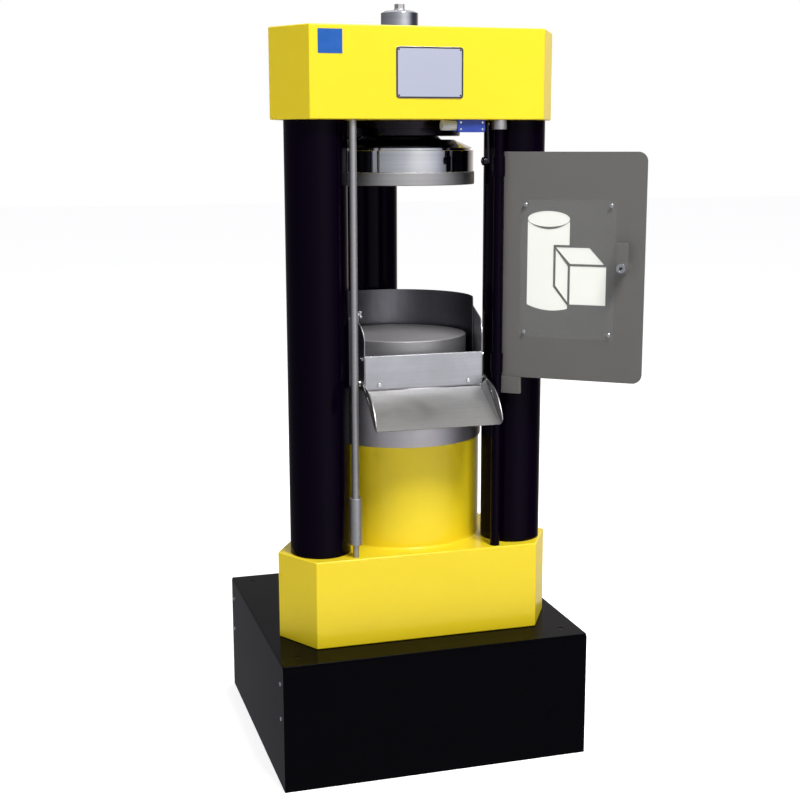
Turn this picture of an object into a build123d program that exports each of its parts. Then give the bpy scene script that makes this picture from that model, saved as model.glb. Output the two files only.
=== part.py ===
from build123d import *
from math import atan2, cos, degrees, hypot, radians, sin, sqrt, tan
import os

os.makedirs("parts", exist_ok=True)

# Three-column compression testing machine, in millimetres.
# The loading axis is the Z axis, the floor is Z = 0 and the operator stands at -Y.

# Sizes that drive the others
cylinder_radius = 187.5
cylinder_height = 374.0
column_radius = 69.25
clear_height = 971.0

# Frame: two three-cornered steel blocks held apart by three columns
column_gap = 10.75
column_circle = cylinder_radius + column_gap + column_radius
block_rim = 23.3
block_face = column_circle / 2 + column_radius + block_rim
block_tip_rim = 5.05
block_corner = column_circle + column_radius + block_tip_rim
block_tip = 2 * block_face - block_corner
block_half = block_face * sqrt(3) - 2 * block_tip * tan(radians(30))
block_edge_radius = 3.0
beam_height = 204.0
crosshead_height = 195.0
column_bore = 36.0
tie_rod_radius = 35.0
nut_across = 104.0
nut_height = 44.0
nut_recess_radius = 64.0
nut_recess_depth = 54.0
fit_gap = 0.3

# Plinth of folded sheet on a welded inner frame
plinth_side_step = 24.25
plinth_front_step = 81.7
plinth_back_step = 8.2
plinth_half_width = column_circle + column_radius + plinth_side_step
plinth_front = block_face + plinth_front_step
plinth_back = block_corner + plinth_back_step
plinth_height = 295.0
sheet = 2.5
lid_sheet = 3.0
lid_rim = 5.5
lid_seam = 0.6
panel_return = 45.0
floor_plate = 8.0
post_side = 80.0
post_wall = 6.0
ring_height = 60.0
ring_width = 70.0
ring_inset = 20.0
panel_screw_radius = 5.0
panel_screw_head = 2.4
panel_screw_low = 163.0
panel_screw_high = 245.0
panel_screw_inset = 30.0
lid_screw_inset = 45.0
lid_screw_end_inset = 50.0
lid_screw_x = plinth_half_width - lid_screw_inset
lid_screw_front = plinth_front - lid_screw_end_inset
lid_screw_back = plinth_back - lid_screw_end_inset
lid_screw_radius = 6.5
lid_screw_length = 14.0
lid_screw_sink = 1.0
plug_radius = 9.0
plug_inset = 84.0
plug_x = plinth_half_width - plug_inset
plug_z = 106.0

# Hydraulic cylinder, ram and lower platen
cylinder_floor = 55.0
cylinder_foot = 6.0
cylinder_wall = 46.5
cylinder_bore = cylinder_radius - cylinder_wall
ram_clearance = 1.0
ram_radius = cylinder_bore - ram_clearance
ram_floor_gap = 6.0
ram_projection = 52.0
running = 0.06
guide_depth = 95.0
guide_height = 24.0
seal_depth = 55.0
seal_height = 12.0
wiper_height = 9.0
ring_groove = 7.0
lower_platen_rim = 15.7
lower_platen_radius = ram_radius + lower_platen_rim
lower_platen_height = 52.5
platen_spigot_radius = 24.0
platen_spigot = 12.0
inlet_angle = 150.0
inlet_height = 27.0
inlet_bore = 6.0
inlet_radius = 14.0
inlet_length = 30.0
inlet_socket = 8.5

# Upper platen on its spherical seat
platen_drop = 143.0
upper_platen_radius = 173.0
upper_platen_height = 29.0
block_radius = 170.5
block_groove_radius = 164.0
block_groove_low = 77.0
block_groove_high = 82.0
block_cone_radius = 168.5
block_top_radius = 125.0
block_height = 101.0
ball_radius = 140.0
ball_gap = 0.3
ball_top = 133.0
seat_low = 109.0
seat_step = 126.0
seat_radius = 152.0
seat_low_radius = 139.0
seat_screw_circle = 112.0
seat_screw_radius = 6.0
head_radius = 22.0
head_low = 110.0
head_high = 118.0
pocket_radius = 30.0
pocket_low = 104.0
pocket_high = 119.5
neck_radius = 17.0
rod_radius = 9.0
rod_tunnel = 14.0
collar_radius = 20.0
collar_height = 5.0
spring_radius = 21.0
spring_wire = 2.4
spring_turns = 4
spring_height = 26.0
cap_radius = 42.6
cap_height = 50.0
cap_chamfer = 9.0
cap_cavity_radius = 29.0
cap_cavity_height = 36.0
top_nut_radius = 12.0
top_nut_foot = 15.5
top_nut_height = 15.5

# Debris tray around the platen, carried by a collar on the cylinder
collar_gap = 1.5
collar_wall = 2.5
collar_outer = cylinder_radius + collar_gap + collar_wall
collar_drop = 134.0
tray_sheet = 2.0
tray_plate = 3.0
tray_set_in = 14.5
tray_circle = cylinder_radius - tray_set_in
tray_front_set_in = 0.5
tray_front = cylinder_radius - tray_front_set_in
tray_front_corner = 49.4
tray_front_half = tray_front - tray_front_corner
tray_hole_gap = 0.6
tray_hole = cylinder_bore + tray_hole_gap
tray_panel_height = 74.0
tray_lip = 8.0
tray_corner = 9.0
wall_front_height = 96.0
wall_shoulder = 136.0
wall_height = 153.0
wall_back_height = 166.0
wall_curve = 40.0
wall_set_in = 17.0
wall_length = tray_front - wall_set_in
guard_height = 184.0
guard_end_y = 52.0
guard_corner = 12.0
tray_screw_radius = 4.5
tray_screw_head = 3.5
tray_screw_z = 67.0
tray_screw_back = 10.0
front_screw_inset = 32.6
wing_height = 166.0
wing_ear = 9.0
wing_stem = 5.5
wing_length = 9.0
wing_span = 21.0
wing_blade = 6.0

# Chute in front of the tray, hung on two pins
chute_pin_back = 9.5
chute_pin_height = 13.0
chute_pin_radius = 4.0
pin_head = 7.0
pin_head_length = 4.0
chute_lap = 6.7
chute_half = tray_front_half + chute_lap
chute_back_fold = 13.3
chute_back_half = chute_half - chute_back_fold
chute_front_fold = 3.3
chute_front_half = chute_half - chute_front_fold
chute_lug = 9.0
chute_back_gap = 9.0
chute_back_y = tray_front + chute_back_gap
chute_back_drop = 3.0
chute_length = 101.0
chute_front_y = chute_back_y + chute_length
chute_front_drop = 73.0
chute_cheek = 2.0
chute_tip = 10.0
chute_tip_y = chute_front_y + chute_tip
chute_tip_drop = 62.0
chute_cheek_gap = 7.0
cheek_bow_back = 29.0
cheek_bow_up = 44.0
cheek_top_start = 24.0
slot_first = 34.0
slot_second = 66.0
slot_rise = 18.0
slot_width = 5.0
slot_length = 24.0

# Door posts
post_side_gap = 29.4
post_x = tray_front_half + post_side_gap
post_set_in = 18.3
post_y = block_face - post_set_in
strike_radius = 8.0
strike_spigot_radius = 6.6
sleeve_radius = 14.0
sleeve_low = 30.0
sleeve_high = 138.0
hinge_radius = 11.0
hinge_depth = 25.0
bush_radius = 16.5
bush_height = 21.0
lug_start = 8.0
lug_thick = 14.0
lug_end = 52.0
lug_height = 38.0

# Door, shown open; the closed door turns this far clockwise from here
door_open_angle = 38.0
door_inner = 11.3
door_sheet = 2.0
door_start = 9.0
door_end_gap = 5.0
door_end = 2 * post_x - door_end_gap
door_rise = 18.0
door_headroom = 69.0
door_corner = 21.0
barrel_radius = 14.0
barrel_height = 44.0
barrel_inset = 10.0
strap_end = 46.0
strap_tail = 6.0
strap_thick = 3.5
pane_thick = 4.0
pane_side_rim = 106.0
pane_end_rim = 199.0
pane_shift = 12.0
pane_drop = 5.0
pane_corner = 5.0
pane_screw_inset = 10.5
pane_screw_end_inset = 11.0
pane_screw_radius = 4.5
pane_screw_head = 2.6

# Pictogram cut-outs in the door: a test cylinder and a test cube
icon_left_margin = 15.0
icon_right_margin = 20.0
icon_middle_shift = 6.5
icon_top_margin = 41.5
icon_bottom_margin = 72.5
icon_ellipse = 17.5
icon_bottom_sag = 12.0
icon_bottom_step = 7.0
icon_web = 5.0
cube_lap = 2.0
cube_lift = 3.0
cube_height_share = 85 / 191
cube_shift_share = 41 / 191
cube_side_share = 33 / 81

# Door latch
latch_side_gap = 20.0
latch_rise = 9.0
hub_radius = 10.0
spindle_radius = 6.0
spindle_depth = 37.0
socket_radius = 4.6
tongue_depth = 23.0
tongue_clearance = 0.5
tongue_thick = 4.0
tongue_width = 27.0
tongue_reach = 54.0
knob_radius = 17.0
knob_length = 24.0

# Door switch with its roller lever
switch_side_gap = 35.0
switch_length = 64.0
switch_x = post_x - switch_side_gap - switch_length
switch_depth = 30.0
switch_height = 27.0
switch_set_in = 8.0
switch_y = post_y - switch_set_in
gland_radius = 13.0
gland_length = 33.0
switch_bearing = 16.0
spindle_size = 4.0
lever_gap = 5.0
lever_x = switch_x + switch_length + lever_gap
lever_thick = 5.0
lever_drop = 10.5
lever_hub = 9.0
lever_reach = 79.0
lever_forward = 9.8
lever_end = 6.5
roller_radius = 9.0
roller_width = 9.0
roller_pin = 3.0

# Plates on the front of the crosshead
nameplate_width = 151.0
nameplate_height = 108.0
nameplate_thick = 1.5
nameplate_centre = 98.0
nameplate_corner = 7.0
label_width = 53.0
label_height = 50.0
label_thick = 0.6
label_inset = 48.5
label_x = label_inset - column_circle
label_centre = 160.0

# Levels that follow from the sizes above
lid_top = plinth_height
beam_top = lid_top + beam_height
crosshead_low = beam_top + clear_height
crosshead_top = crosshead_low + crosshead_height
cylinder_top = beam_top + cylinder_height
ram_top = cylinder_top + ram_projection
lower_platen_top = ram_top + lower_platen_height
tilt_centre = crosshead_low - platen_drop
tray_floor_low = cylinder_top + tray_plate
tray_floor = tray_floor_low + tray_plate
door_low = tray_floor + door_rise
door_high = crosshead_low - door_headroom
pane_width = door_end - door_start - pane_side_rim
pane_height = door_high - door_low - pane_end_rim
pane_s = (door_start + door_end) / 2 - pane_shift
pane_z = (door_low + door_high) / 2 - pane_drop
pane_screw_s = pane_width / 2 - pane_screw_inset
pane_screw_z = pane_height / 2 - pane_screw_end_inset
icon_left = pane_s - pane_width / 2 + icon_left_margin
cube_right = pane_s + pane_width / 2 - icon_right_margin
icon_right = (icon_left + cube_right) / 2 + icon_middle_shift
cube_left = icon_right + cube_lap
icon_top = pane_z + pane_height / 2 - icon_top_margin
icon_bottom = pane_z - pane_height / 2 + icon_bottom_margin
cube_low = icon_bottom + cube_lift
cube_high = cube_low + cube_height_share * (icon_top - icon_bottom)
cube_shift_s = cube_side_share * (cube_right - cube_left)
cube_shift_z = cube_shift_share * (icon_top - icon_bottom)
latch_s = pane_s + pane_width / 2 + latch_side_gap
latch_z = pane_z + latch_rise
panel_top = plinth_height - lid_rim
plinth_depth = plinth_front + plinth_back
plinth_mid_y = (plinth_back - plinth_front) / 2
column_angles = [-150.0, -30.0, 90.0]


def polar(radius, angle):
    """Plan point at a radius and an angle in degrees from +X."""
    return radius * cos(radians(angle)), radius * sin(radians(angle))


def block_outline(inset=0.0):
    """Corners of the three-cornered block with its tips cut off, moved inwards."""
    face = block_face - inset
    half = block_half - inset * (sqrt(3) - 2 * tan(radians(30)))
    corners = []
    for turn in (0, 120, 240):
        for x in (-half, half):
            radius = hypot(x, face)
            corners.append(polar(radius, degrees(atan2(-face, x)) + turn))
    return corners


def export(builder, name):
    """Label a finished piece and write its file."""
    builder.part.label = name
    export_step(builder.part, f"parts/{name}.step")


# Plinth

with BuildPart() as base_plate:
    with BuildSketch():
        with Locations((0, plinth_mid_y)):
            Rectangle(2 * (plinth_half_width - sheet), plinth_depth - 2 * sheet)
    extrude(amount=floor_plate)
export(base_plate, "base_plate")

with BuildPart() as base_frame:
    with BuildSketch(Plane.XY.offset(floor_plate)):
        for angle in column_angles:
            with Locations(polar(column_circle, angle)):
                Rectangle(post_side, post_side)
                Rectangle(post_side - 2 * post_wall, post_side - 2 * post_wall, mode=Mode.SUBTRACT)
    extrude(amount=lid_top - lid_sheet - ring_height - floor_plate)
    with BuildSketch(Plane.XY.offset(lid_top - lid_sheet - ring_height)):
        Polygon(*block_outline(ring_inset), align=None)
        Polygon(*block_outline(ring_inset + ring_width), align=None, mode=Mode.SUBTRACT)
    extrude(amount=ring_height)
export(base_frame, "base_frame")


def fold_panel(face_y, inward):
    """Front or rear panel between the side panels, with a return at each end."""
    outer = plinth_half_width - sheet
    with BuildPart() as panel:
        with BuildSketch():
            with Locations((0, face_y + inward * sheet / 2)):
                Rectangle(2 * outer, sheet)
            for side in (-1, 1):
                with Locations((side * (outer - sheet / 2), face_y + inward * panel_return / 2)):
                    Rectangle(sheet, panel_return)
        extrude(amount=panel_top)
        with BuildSketch(Plane.XY.offset(floor_plate)):
            for side in (-1, 1):
                with Locations((side * (outer - sheet / 2), face_y + inward * (sheet + panel_return) / 2)):
                    Rectangle(sheet, panel_return - sheet)
        extrude(amount=-floor_plate, mode=Mode.SUBTRACT)
        with BuildSketch(Plane.YZ):
            for height in (panel_screw_low, panel_screw_high):
                with Locations((face_y + inward * panel_screw_inset, height)):
                    Circle(panel_screw_radius / 2)
        extrude(amount=plinth_half_width, both=True, mode=Mode.SUBTRACT)
    return panel


plinth_rear = fold_panel(plinth_back, -1)
export(plinth_rear, "plinth_rear")

plinth_front_panel = fold_panel(-plinth_front, 1)
with BuildPart() as plinth_front_cut:
    add(plinth_front_panel.part)
    with BuildSketch(Plane.XZ.offset(plinth_front)):
        with Locations((plug_x, plug_z)):
            Circle(plug_radius)
    extrude(amount=-sheet, mode=Mode.SUBTRACT)
export(plinth_front_cut, "plinth_front")


def side_panel(side):
    """Flat side panel over the full depth, holed for its screws."""
    inner = side * (plinth_half_width - sheet)
    with BuildPart() as panel:
        with BuildSketch(Plane.YZ.offset(inner)):
            with Locations((plinth_mid_y, panel_top / 2)):
                Rectangle(plinth_depth, panel_top)
            for y in (panel_screw_inset - plinth_front, plinth_back - panel_screw_inset):
                for z in (panel_screw_low, panel_screw_high):
                    with Locations((y, z)):
                        Circle(panel_screw_radius / 2, mode=Mode.SUBTRACT)
        extrude(amount=side * sheet)
    return panel


for side, name in ((-1, "plinth_left"), (1, "plinth_right")):
    export(side_panel(side), name)

with BuildPart() as plinth_lid:
    with BuildSketch(Plane.XY.offset(panel_top + lid_seam)):
        with Locations((0, plinth_mid_y)):
            RectangleRounded(2 * plinth_half_width, plinth_depth, 4.0)
    extrude(amount=lid_rim - lid_seam)
    fillet(plinth_lid.faces().sort_by(Axis.Z)[-1].edges(), 1.8)
    with BuildSketch(Plane.XY.offset(panel_top + lid_seam)):
        with Locations((0, plinth_mid_y)):
            Rectangle(2 * (plinth_half_width - sheet), plinth_depth - 2 * sheet)
    extrude(amount=lid_rim - lid_seam - lid_sheet, mode=Mode.SUBTRACT)
    with BuildSketch(Plane.XY.offset(lid_top)):
        for x in (-lid_screw_x, lid_screw_x):
            for y in (-lid_screw_front, lid_screw_back):
                with Locations((x, y)):
                    Circle(lid_screw_radius + fit_gap)
    extrude(amount=-lid_sheet, mode=Mode.SUBTRACT)
export(plinth_lid, "plinth_lid")

with BuildPart() as plinth_screws:
    with BuildSketch(Plane.YZ):
        for y in (panel_screw_inset - plinth_front, plinth_back - panel_screw_inset):
            for z in (panel_screw_low, panel_screw_high):
                with Locations((y, z)):
                    Circle(panel_screw_radius)
    extrude(amount=plinth_half_width + panel_screw_head, both=True)
    with BuildSketch(Plane.YZ):
        with Locations((plinth_mid_y, plinth_height / 2)):
            Rectangle(2 * plinth_depth, 2 * plinth_height)
    extrude(amount=plinth_half_width, both=True, mode=Mode.SUBTRACT)
    heads = plinth_screws.faces().filter_by(Axis.X)
    outer = heads.group_by(Axis.X)[0] + heads.group_by(Axis.X)[-1]
    fillet(outer.edges(), panel_screw_head * 0.7)
    with BuildSketch(Plane.XY.offset(lid_top - lid_screw_length)):
        for x in (-lid_screw_x, lid_screw_x):
            for y in (-lid_screw_front, lid_screw_back):
                with Locations((x, y)):
                    Circle(lid_screw_radius)
    extrude(amount=lid_screw_length - lid_screw_sink)
    with BuildSketch(Plane.XY.offset(lid_top - lid_screw_sink)):
        for x in (-lid_screw_x, lid_screw_x):
            for y in (-lid_screw_front, lid_screw_back):
                with Locations((x, y)):
                    RegularPolygon(lid_screw_radius / 2, 6)
    extrude(amount=-lid_screw_length / 3, mode=Mode.SUBTRACT)
export(plinth_screws, "plinth_screws")

with BuildPart() as plinth_plug:
    with BuildSketch(Plane.XZ.offset(plinth_front)):
        with Locations((plug_x, plug_z)):
            Circle(plug_radius - fit_gap)
    extrude(amount=-sheet)
    with BuildSketch(Plane.XZ.offset(plinth_front)):
        with Locations((plug_x, plug_z)):
            Circle(plug_radius + 2)
    extrude(amount=1.2)
    fillet(plinth_plug.faces().sort_by(Axis.Y)[0].edges(), 0.8)
export(plinth_plug, "plinth_plug")


# Frame

with BuildPart() as lower_beam:
    with BuildSketch(Plane.XY.offset(lid_top)):
        Polygon(*block_outline(), align=None)
    extrude(amount=beam_height)
    fillet(lower_beam.edges(), block_edge_radius)
    with BuildSketch(Plane.XY.offset(beam_top)):
        for angle in column_angles:
            with Locations(polar(column_circle, angle)):
                Circle(column_bore)
    extrude(amount=-beam_height, mode=Mode.SUBTRACT)
    with BuildSketch(Plane.XY.offset(lid_top)):
        for angle in column_angles:
            with Locations(polar(column_circle, angle)):
                Circle(nut_recess_radius)
    extrude(amount=nut_recess_depth, mode=Mode.SUBTRACT)
    with BuildSketch(Plane.XY.offset(beam_top)):
        with Locations((-post_x, -post_y)):
            Circle(strike_spigot_radius + fit_gap)
        with Locations((post_x, -post_y)):
            Circle(hinge_radius + fit_gap)
    extrude(amount=-hinge_depth, mode=Mode.SUBTRACT)
export(lower_beam, "lower_beam")

with BuildPart() as crosshead:
    with BuildSketch(Plane.XY.offset(crosshead_low)):
        Polygon(*block_outline(), align=None)
    extrude(amount=crosshead_height)
    fillet(crosshead.edges(), block_edge_radius)
    with BuildSketch(Plane.XY.offset(crosshead_low)):
        Circle(rod_tunnel)
        for angle in column_angles:
            with Locations(polar(column_circle, angle)):
                Circle(column_bore)
    extrude(amount=crosshead_height, mode=Mode.SUBTRACT)
    with BuildSketch(Plane.XY.offset(crosshead_top)):
        for angle in column_angles:
            with Locations(polar(column_circle, angle)):
                Circle(nut_recess_radius)
    extrude(amount=-nut_recess_depth, mode=Mode.SUBTRACT)
    with BuildSketch(Plane.XY.offset(crosshead_low)):
        with Locations((-post_x, -post_y)):
            Circle(strike_radius + fit_gap)
        with Locations((post_x, -post_y)):
            Circle(hinge_radius + fit_gap)
    extrude(amount=hinge_depth, mode=Mode.SUBTRACT)
export(crosshead, "crosshead")

for angle, name in zip(column_angles, ("column_left", "column_right", "column_rear")):
    with BuildPart() as column:
        with BuildSketch(Plane.XY.offset(beam_top)):
            with Locations(polar(column_circle, angle)):
                Circle(column_radius)
                Circle(column_bore, mode=Mode.SUBTRACT)
        extrude(amount=clear_height)
    export(column, name)

rod_end_gap = 6.0
with BuildPart() as tie_rods:
    with BuildSketch(Plane.XY.offset(lid_top + rod_end_gap)):
        for angle in column_angles:
            with Locations(polar(column_circle, angle)):
                Circle(tie_rod_radius)
    extrude(amount=crosshead_top - lid_top - 2 * rod_end_gap)
    chamfer(tie_rods.faces().filter_by(Axis.Z).edges(), 3.0)
export(tie_rods, "tie_rods")

with BuildPart() as column_nuts:
    for low in (lid_top + nut_recess_depth - nut_height, crosshead_top - nut_recess_depth):
        with BuildSketch(Plane.XY.offset(low)):
            for angle in column_angles:
                with Locations(polar(column_circle, angle)):
                    RegularPolygon(nut_across / 2, 6, major_radius=False)
                    Circle(tie_rod_radius + fit_gap, mode=Mode.SUBTRACT)
        extrude(amount=nut_height)
export(column_nuts, "column_nuts")


# Cylinder, ram and lower platen

inlet_x, inlet_y = polar(cylinder_radius, inlet_angle)
inlet_plane = Plane(
    origin=(inlet_x, inlet_y, beam_top + inlet_height),
    z_dir=(inlet_x, inlet_y, 0),
)
with BuildPart() as cylinder:
    with BuildSketch(Plane.XY.offset(beam_top)):
        Circle(cylinder_radius)
    extrude(amount=cylinder_height)
    with BuildSketch(Plane.XZ):
        with BuildLine():
            Line((cylinder_radius, beam_top), (cylinder_radius + cylinder_foot, beam_top))
            RadiusArc(
                (cylinder_radius + cylinder_foot, beam_top),
                (cylinder_radius, beam_top + cylinder_foot),
                cylinder_foot,
            )
            Line((cylinder_radius, beam_top + cylinder_foot), (cylinder_radius, beam_top))
        make_face()
    revolve(axis=Axis.Z)
    with BuildSketch(Plane.XY.offset(cylinder_top)):
        Circle(cylinder_bore)
    extrude(amount=cylinder_floor - cylinder_height, mode=Mode.SUBTRACT)
    for depth, height in ((guide_depth, guide_height), (seal_depth, seal_height), (0, wiper_height)):
        with BuildSketch(Plane.XY.offset(cylinder_top - depth)):
            Circle(cylinder_bore + ring_groove)
        extrude(amount=-height, mode=Mode.SUBTRACT)
    with BuildSketch(inlet_plane):
        Circle(inlet_bore)
    extrude(amount=-cylinder_radius, mode=Mode.SUBTRACT)
    with BuildSketch(Plane.XY.offset(beam_top + inlet_height)):
        Circle(inlet_bore)
    extrude(amount=cylinder_floor - inlet_height, mode=Mode.SUBTRACT)
export(cylinder, "cylinder")

ring_rows = (
    ("guide_ring", guide_depth, guide_height, running),
    ("ram_seal", seal_depth, seal_height, fit_gap),
    ("wiper_ring", 0.0, wiper_height, fit_gap),
)
for name, depth, height, clearance in ring_rows:
    with BuildPart() as packing:
        with BuildSketch(Plane.XY.offset(cylinder_top - depth)):
            Circle(cylinder_bore + ring_groove - fit_gap)
            Circle(ram_radius + clearance, mode=Mode.SUBTRACT)
        extrude(amount=-height)
    export(packing, name)

with BuildPart() as oil_inlet:
    with BuildSketch(inlet_plane):
        RegularPolygon(inlet_radius, 6)
    extrude(amount=inlet_length)
    with BuildSketch(inlet_plane.offset(inlet_length)):
        Circle(inlet_socket)
    extrude(amount=-inlet_length / 2, mode=Mode.SUBTRACT)
    with BuildSketch(inlet_plane):
        Circle(inlet_bore)
    extrude(amount=inlet_length, mode=Mode.SUBTRACT)
export(oil_inlet, "oil_inlet")

ram_low = beam_top + cylinder_floor + ram_floor_gap
with BuildPart() as ram:
    with BuildSketch(Plane.XY.offset(ram_low)):
        Circle(ram_radius)
    extrude(amount=ram_top - ram_low)
    chamfer(ram.faces().sort_by(Axis.Z)[0].edges(), 4.0)
    with BuildSketch(Plane.XY.offset(ram_top)):
        Circle(platen_spigot_radius + fit_gap)
    extrude(amount=-platen_spigot - 2, mode=Mode.SUBTRACT)
export(ram, "ram")

with BuildPart() as lower_platen:
    with BuildSketch(Plane.XY.offset(ram_top)):
        Circle(lower_platen_radius)
    extrude(amount=lower_platen_height)
    chamfer(lower_platen.edges(), 1.2)
    with BuildSketch(Plane.XY.offset(ram_top)):
        Circle(platen_spigot_radius)
    extrude(amount=-platen_spigot)
export(lower_platen, "lower_platen")


# Upper platen, its ball and the seat

with BuildPart() as upper_platen:
    with BuildSketch(Plane.XY.offset(tilt_centre)):
        Circle(upper_platen_radius)
    extrude(amount=upper_platen_height)
    chamfer(upper_platen.edges(), 1.2)
export(upper_platen, "upper_platen")

with BuildPart() as platen_block:
    with BuildSketch(Plane.XZ):
        with BuildLine():
            Polyline(
                (0, tilt_centre + upper_platen_height),
                (block_radius, tilt_centre + upper_platen_height),
                (block_radius, tilt_centre + block_groove_low),
                (block_groove_radius, tilt_centre + block_groove_low),
                (block_groove_radius, tilt_centre + block_groove_high),
                (block_cone_radius, tilt_centre + block_groove_high),
                (block_top_radius, tilt_centre + block_height),
                (0, tilt_centre + block_height),
                close=True,
            )
        make_face()
    revolve(axis=Axis.Z)
export(platen_block, "platen_block")

with BuildPart() as ball_segment:
    with Locations((0, 0, tilt_centre)):
        Sphere(ball_radius - ball_gap)
    with BuildSketch(Plane.XY.offset(tilt_centre + block_height)):
        Circle(ball_radius + 1)
    extrude(amount=-2 * ball_radius - block_height, mode=Mode.SUBTRACT)
    with BuildSketch(Plane.XY.offset(tilt_centre + ball_top)):
        Circle(ball_radius + 1)
    extrude(amount=ball_radius, mode=Mode.SUBTRACT)
    with BuildSketch(Plane.XY.offset(tilt_centre + pocket_low)):
        Circle(pocket_radius)
    extrude(amount=pocket_high - pocket_low, mode=Mode.SUBTRACT)
    with BuildSketch(Plane.XY.offset(tilt_centre + pocket_high)):
        Circle(neck_radius)
    extrude(amount=ball_top - pocket_high, mode=Mode.SUBTRACT)
export(ball_segment, "ball_segment")

with BuildPart() as seat_housing:
    with BuildSketch(Plane.XY.offset(tilt_centre + seat_low)):
        Circle(seat_low_radius)
    extrude(amount=seat_step - seat_low)
    with BuildSketch(Plane.XY.offset(tilt_centre + seat_step)):
        Circle(seat_radius)
    extrude(amount=platen_drop - seat_step)
    fillet(seat_housing.faces().sort_by(Axis.Z)[0].edges(), 3.0)
    with Locations((0, 0, tilt_centre)):
        Sphere(ball_radius, mode=Mode.SUBTRACT)
    with BuildSketch(Plane.XY.offset(crosshead_low)):
        Circle(neck_radius)
    extrude(amount=-platen_drop + ball_top, mode=Mode.SUBTRACT)
    with PolarLocations(seat_screw_circle, 6, start_angle=30):
        with Locations((0, 0, tilt_centre + seat_low)):
            CounterBoreHole(seat_screw_radius / 2, seat_screw_radius, 8.0, platen_drop)
export(seat_housing, "seat_housing")

with BuildPart() as suspension_rod:
    with BuildSketch(Plane.XY.offset(tilt_centre + head_low)):
        Circle(head_radius)
    extrude(amount=head_high - head_low)
    with BuildSketch(Plane.XY.offset(tilt_centre + head_high)):
        Circle(rod_radius)
    extrude(amount=crosshead_top + cap_height + top_nut_height - 2 - tilt_centre - head_high)
    with BuildSketch(Plane.XY.offset(crosshead_top + spring_height)):
        Circle(collar_radius)
    extrude(amount=collar_height)
export(suspension_rod, "suspension_rod")

coil_radius = spring_radius
coil_height = spring_height - 2 * spring_wire - 2 * fit_gap
with BuildPart() as suspension_spring:
    with BuildLine(Plane.XY.offset(crosshead_top + spring_wire + fit_gap)) as coil:
        Helix(pitch=coil_height / spring_turns, height=coil_height, radius=coil_radius)
    with BuildSketch(Plane(origin=coil.line @ 0, z_dir=coil.line % 0)):
        Circle(spring_wire)
    sweep()
export(suspension_spring, "suspension_spring")

with BuildPart() as suspension_cap:
    with BuildSketch(Plane.XY.offset(crosshead_top)):
        Circle(cap_radius)
    extrude(amount=cap_height)
    chamfer(suspension_cap.faces().sort_by(Axis.Z)[-1].edges(), cap_chamfer / 2, cap_chamfer)
    with BuildSketch(Plane.XY.offset(crosshead_top)):
        Circle(cap_cavity_radius)
    extrude(amount=cap_cavity_height, mode=Mode.SUBTRACT)
    with BuildSketch(Plane.XY.offset(crosshead_top)):
        Circle(rod_radius + fit_gap)
    extrude(amount=cap_height, mode=Mode.SUBTRACT)
export(suspension_cap, "suspension_cap")

nut_foot_height = 5.0
with BuildPart() as suspension_nut:
    with BuildSketch(Plane.XY.offset(crosshead_top + cap_height)):
        Circle(top_nut_foot)
    extrude(amount=nut_foot_height, taper=34)
    with BuildSketch(Plane.XY.offset(crosshead_top + cap_height + nut_foot_height)):
        RegularPolygon(top_nut_radius, 6)
    extrude(amount=top_nut_height - nut_foot_height)
    with BuildSketch(Plane.XY.offset(crosshead_top + cap_height)):
        Circle(rod_radius + fit_gap)
    extrude(amount=top_nut_height, mode=Mode.SUBTRACT)
export(suspension_nut, "suspension_nut")


# Debris tray, guard and chute

with BuildPart() as tray_collar:
    with BuildSketch(Plane.XY.offset(cylinder_top - collar_drop)):
        Circle(collar_outer)
        Circle(collar_outer - collar_wall, mode=Mode.SUBTRACT)
    extrude(amount=collar_drop)
    with BuildSketch(Plane.XY.offset(cylinder_top)):
        Circle(collar_outer)
        Circle(tray_hole, mode=Mode.SUBTRACT)
    extrude(amount=tray_plate)
    fillet(tray_collar.faces().sort_by(Axis.Z)[-1].edges().sort_by(SortBy.RADIUS)[-1], 2.0)
export(tray_collar, "tray_collar")

tangent_angle = degrees(atan2(-tray_front, tray_front_half))
wall_reach = hypot(tray_front, tray_front_half)
wall_to_touch = sqrt(wall_reach**2 - (tray_circle + fit_gap) ** 2)
wall_turn = degrees(atan2(wall_to_touch, tray_circle + fit_gap))
wall_normal = tangent_angle + wall_turn
touch_x, touch_y = polar(tray_circle, wall_normal)

with BuildPart() as tray_plate_part:
    with BuildSketch(Plane.XY.offset(tray_floor_low)):
        with BuildLine():
            Line((-tray_front_half, -tray_front), (tray_front_half, -tray_front))
            Line((tray_front_half, -tray_front), (touch_x, touch_y))
            ThreePointArc((touch_x, touch_y), (0, tray_circle), (-touch_x, touch_y))
            Line((-touch_x, touch_y), (-tray_front_half, -tray_front))
        make_face()
        Circle(tray_hole, mode=Mode.SUBTRACT)
    extrude(amount=tray_plate)
export(tray_plate_part, "tray_floor")

with BuildPart() as tray_front_panel:
    with BuildSketch(Plane.XZ.offset(tray_front)):
        with Locations((0, tray_floor + tray_panel_height / 2)):
            RectangleRounded(2 * tray_front_half, tray_panel_height, tray_corner)
        with Locations((0, tray_floor + tray_panel_height * 3 / 4)):
            Rectangle(2 * tray_front_half, tray_panel_height / 2)
    extrude(amount=tray_sheet)
    with BuildSketch(Plane.XY.offset(tray_floor + tray_panel_height - tray_sheet)):
        with Locations((0, tray_lip / 2 - tray_front)):
            Rectangle(2 * (tray_front_half - 2), tray_lip)
    extrude(amount=tray_sheet)
export(tray_front_panel, "tray_front")

pin_y = -tray_front + chute_pin_back
pin_z = tray_floor + chute_pin_height
wall_dir = (sin(radians(-wall_normal)), cos(radians(wall_normal)))
pin_u = chute_pin_back / wall_dir[1]
screw_u = tray_screw_back / wall_dir[1]


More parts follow.
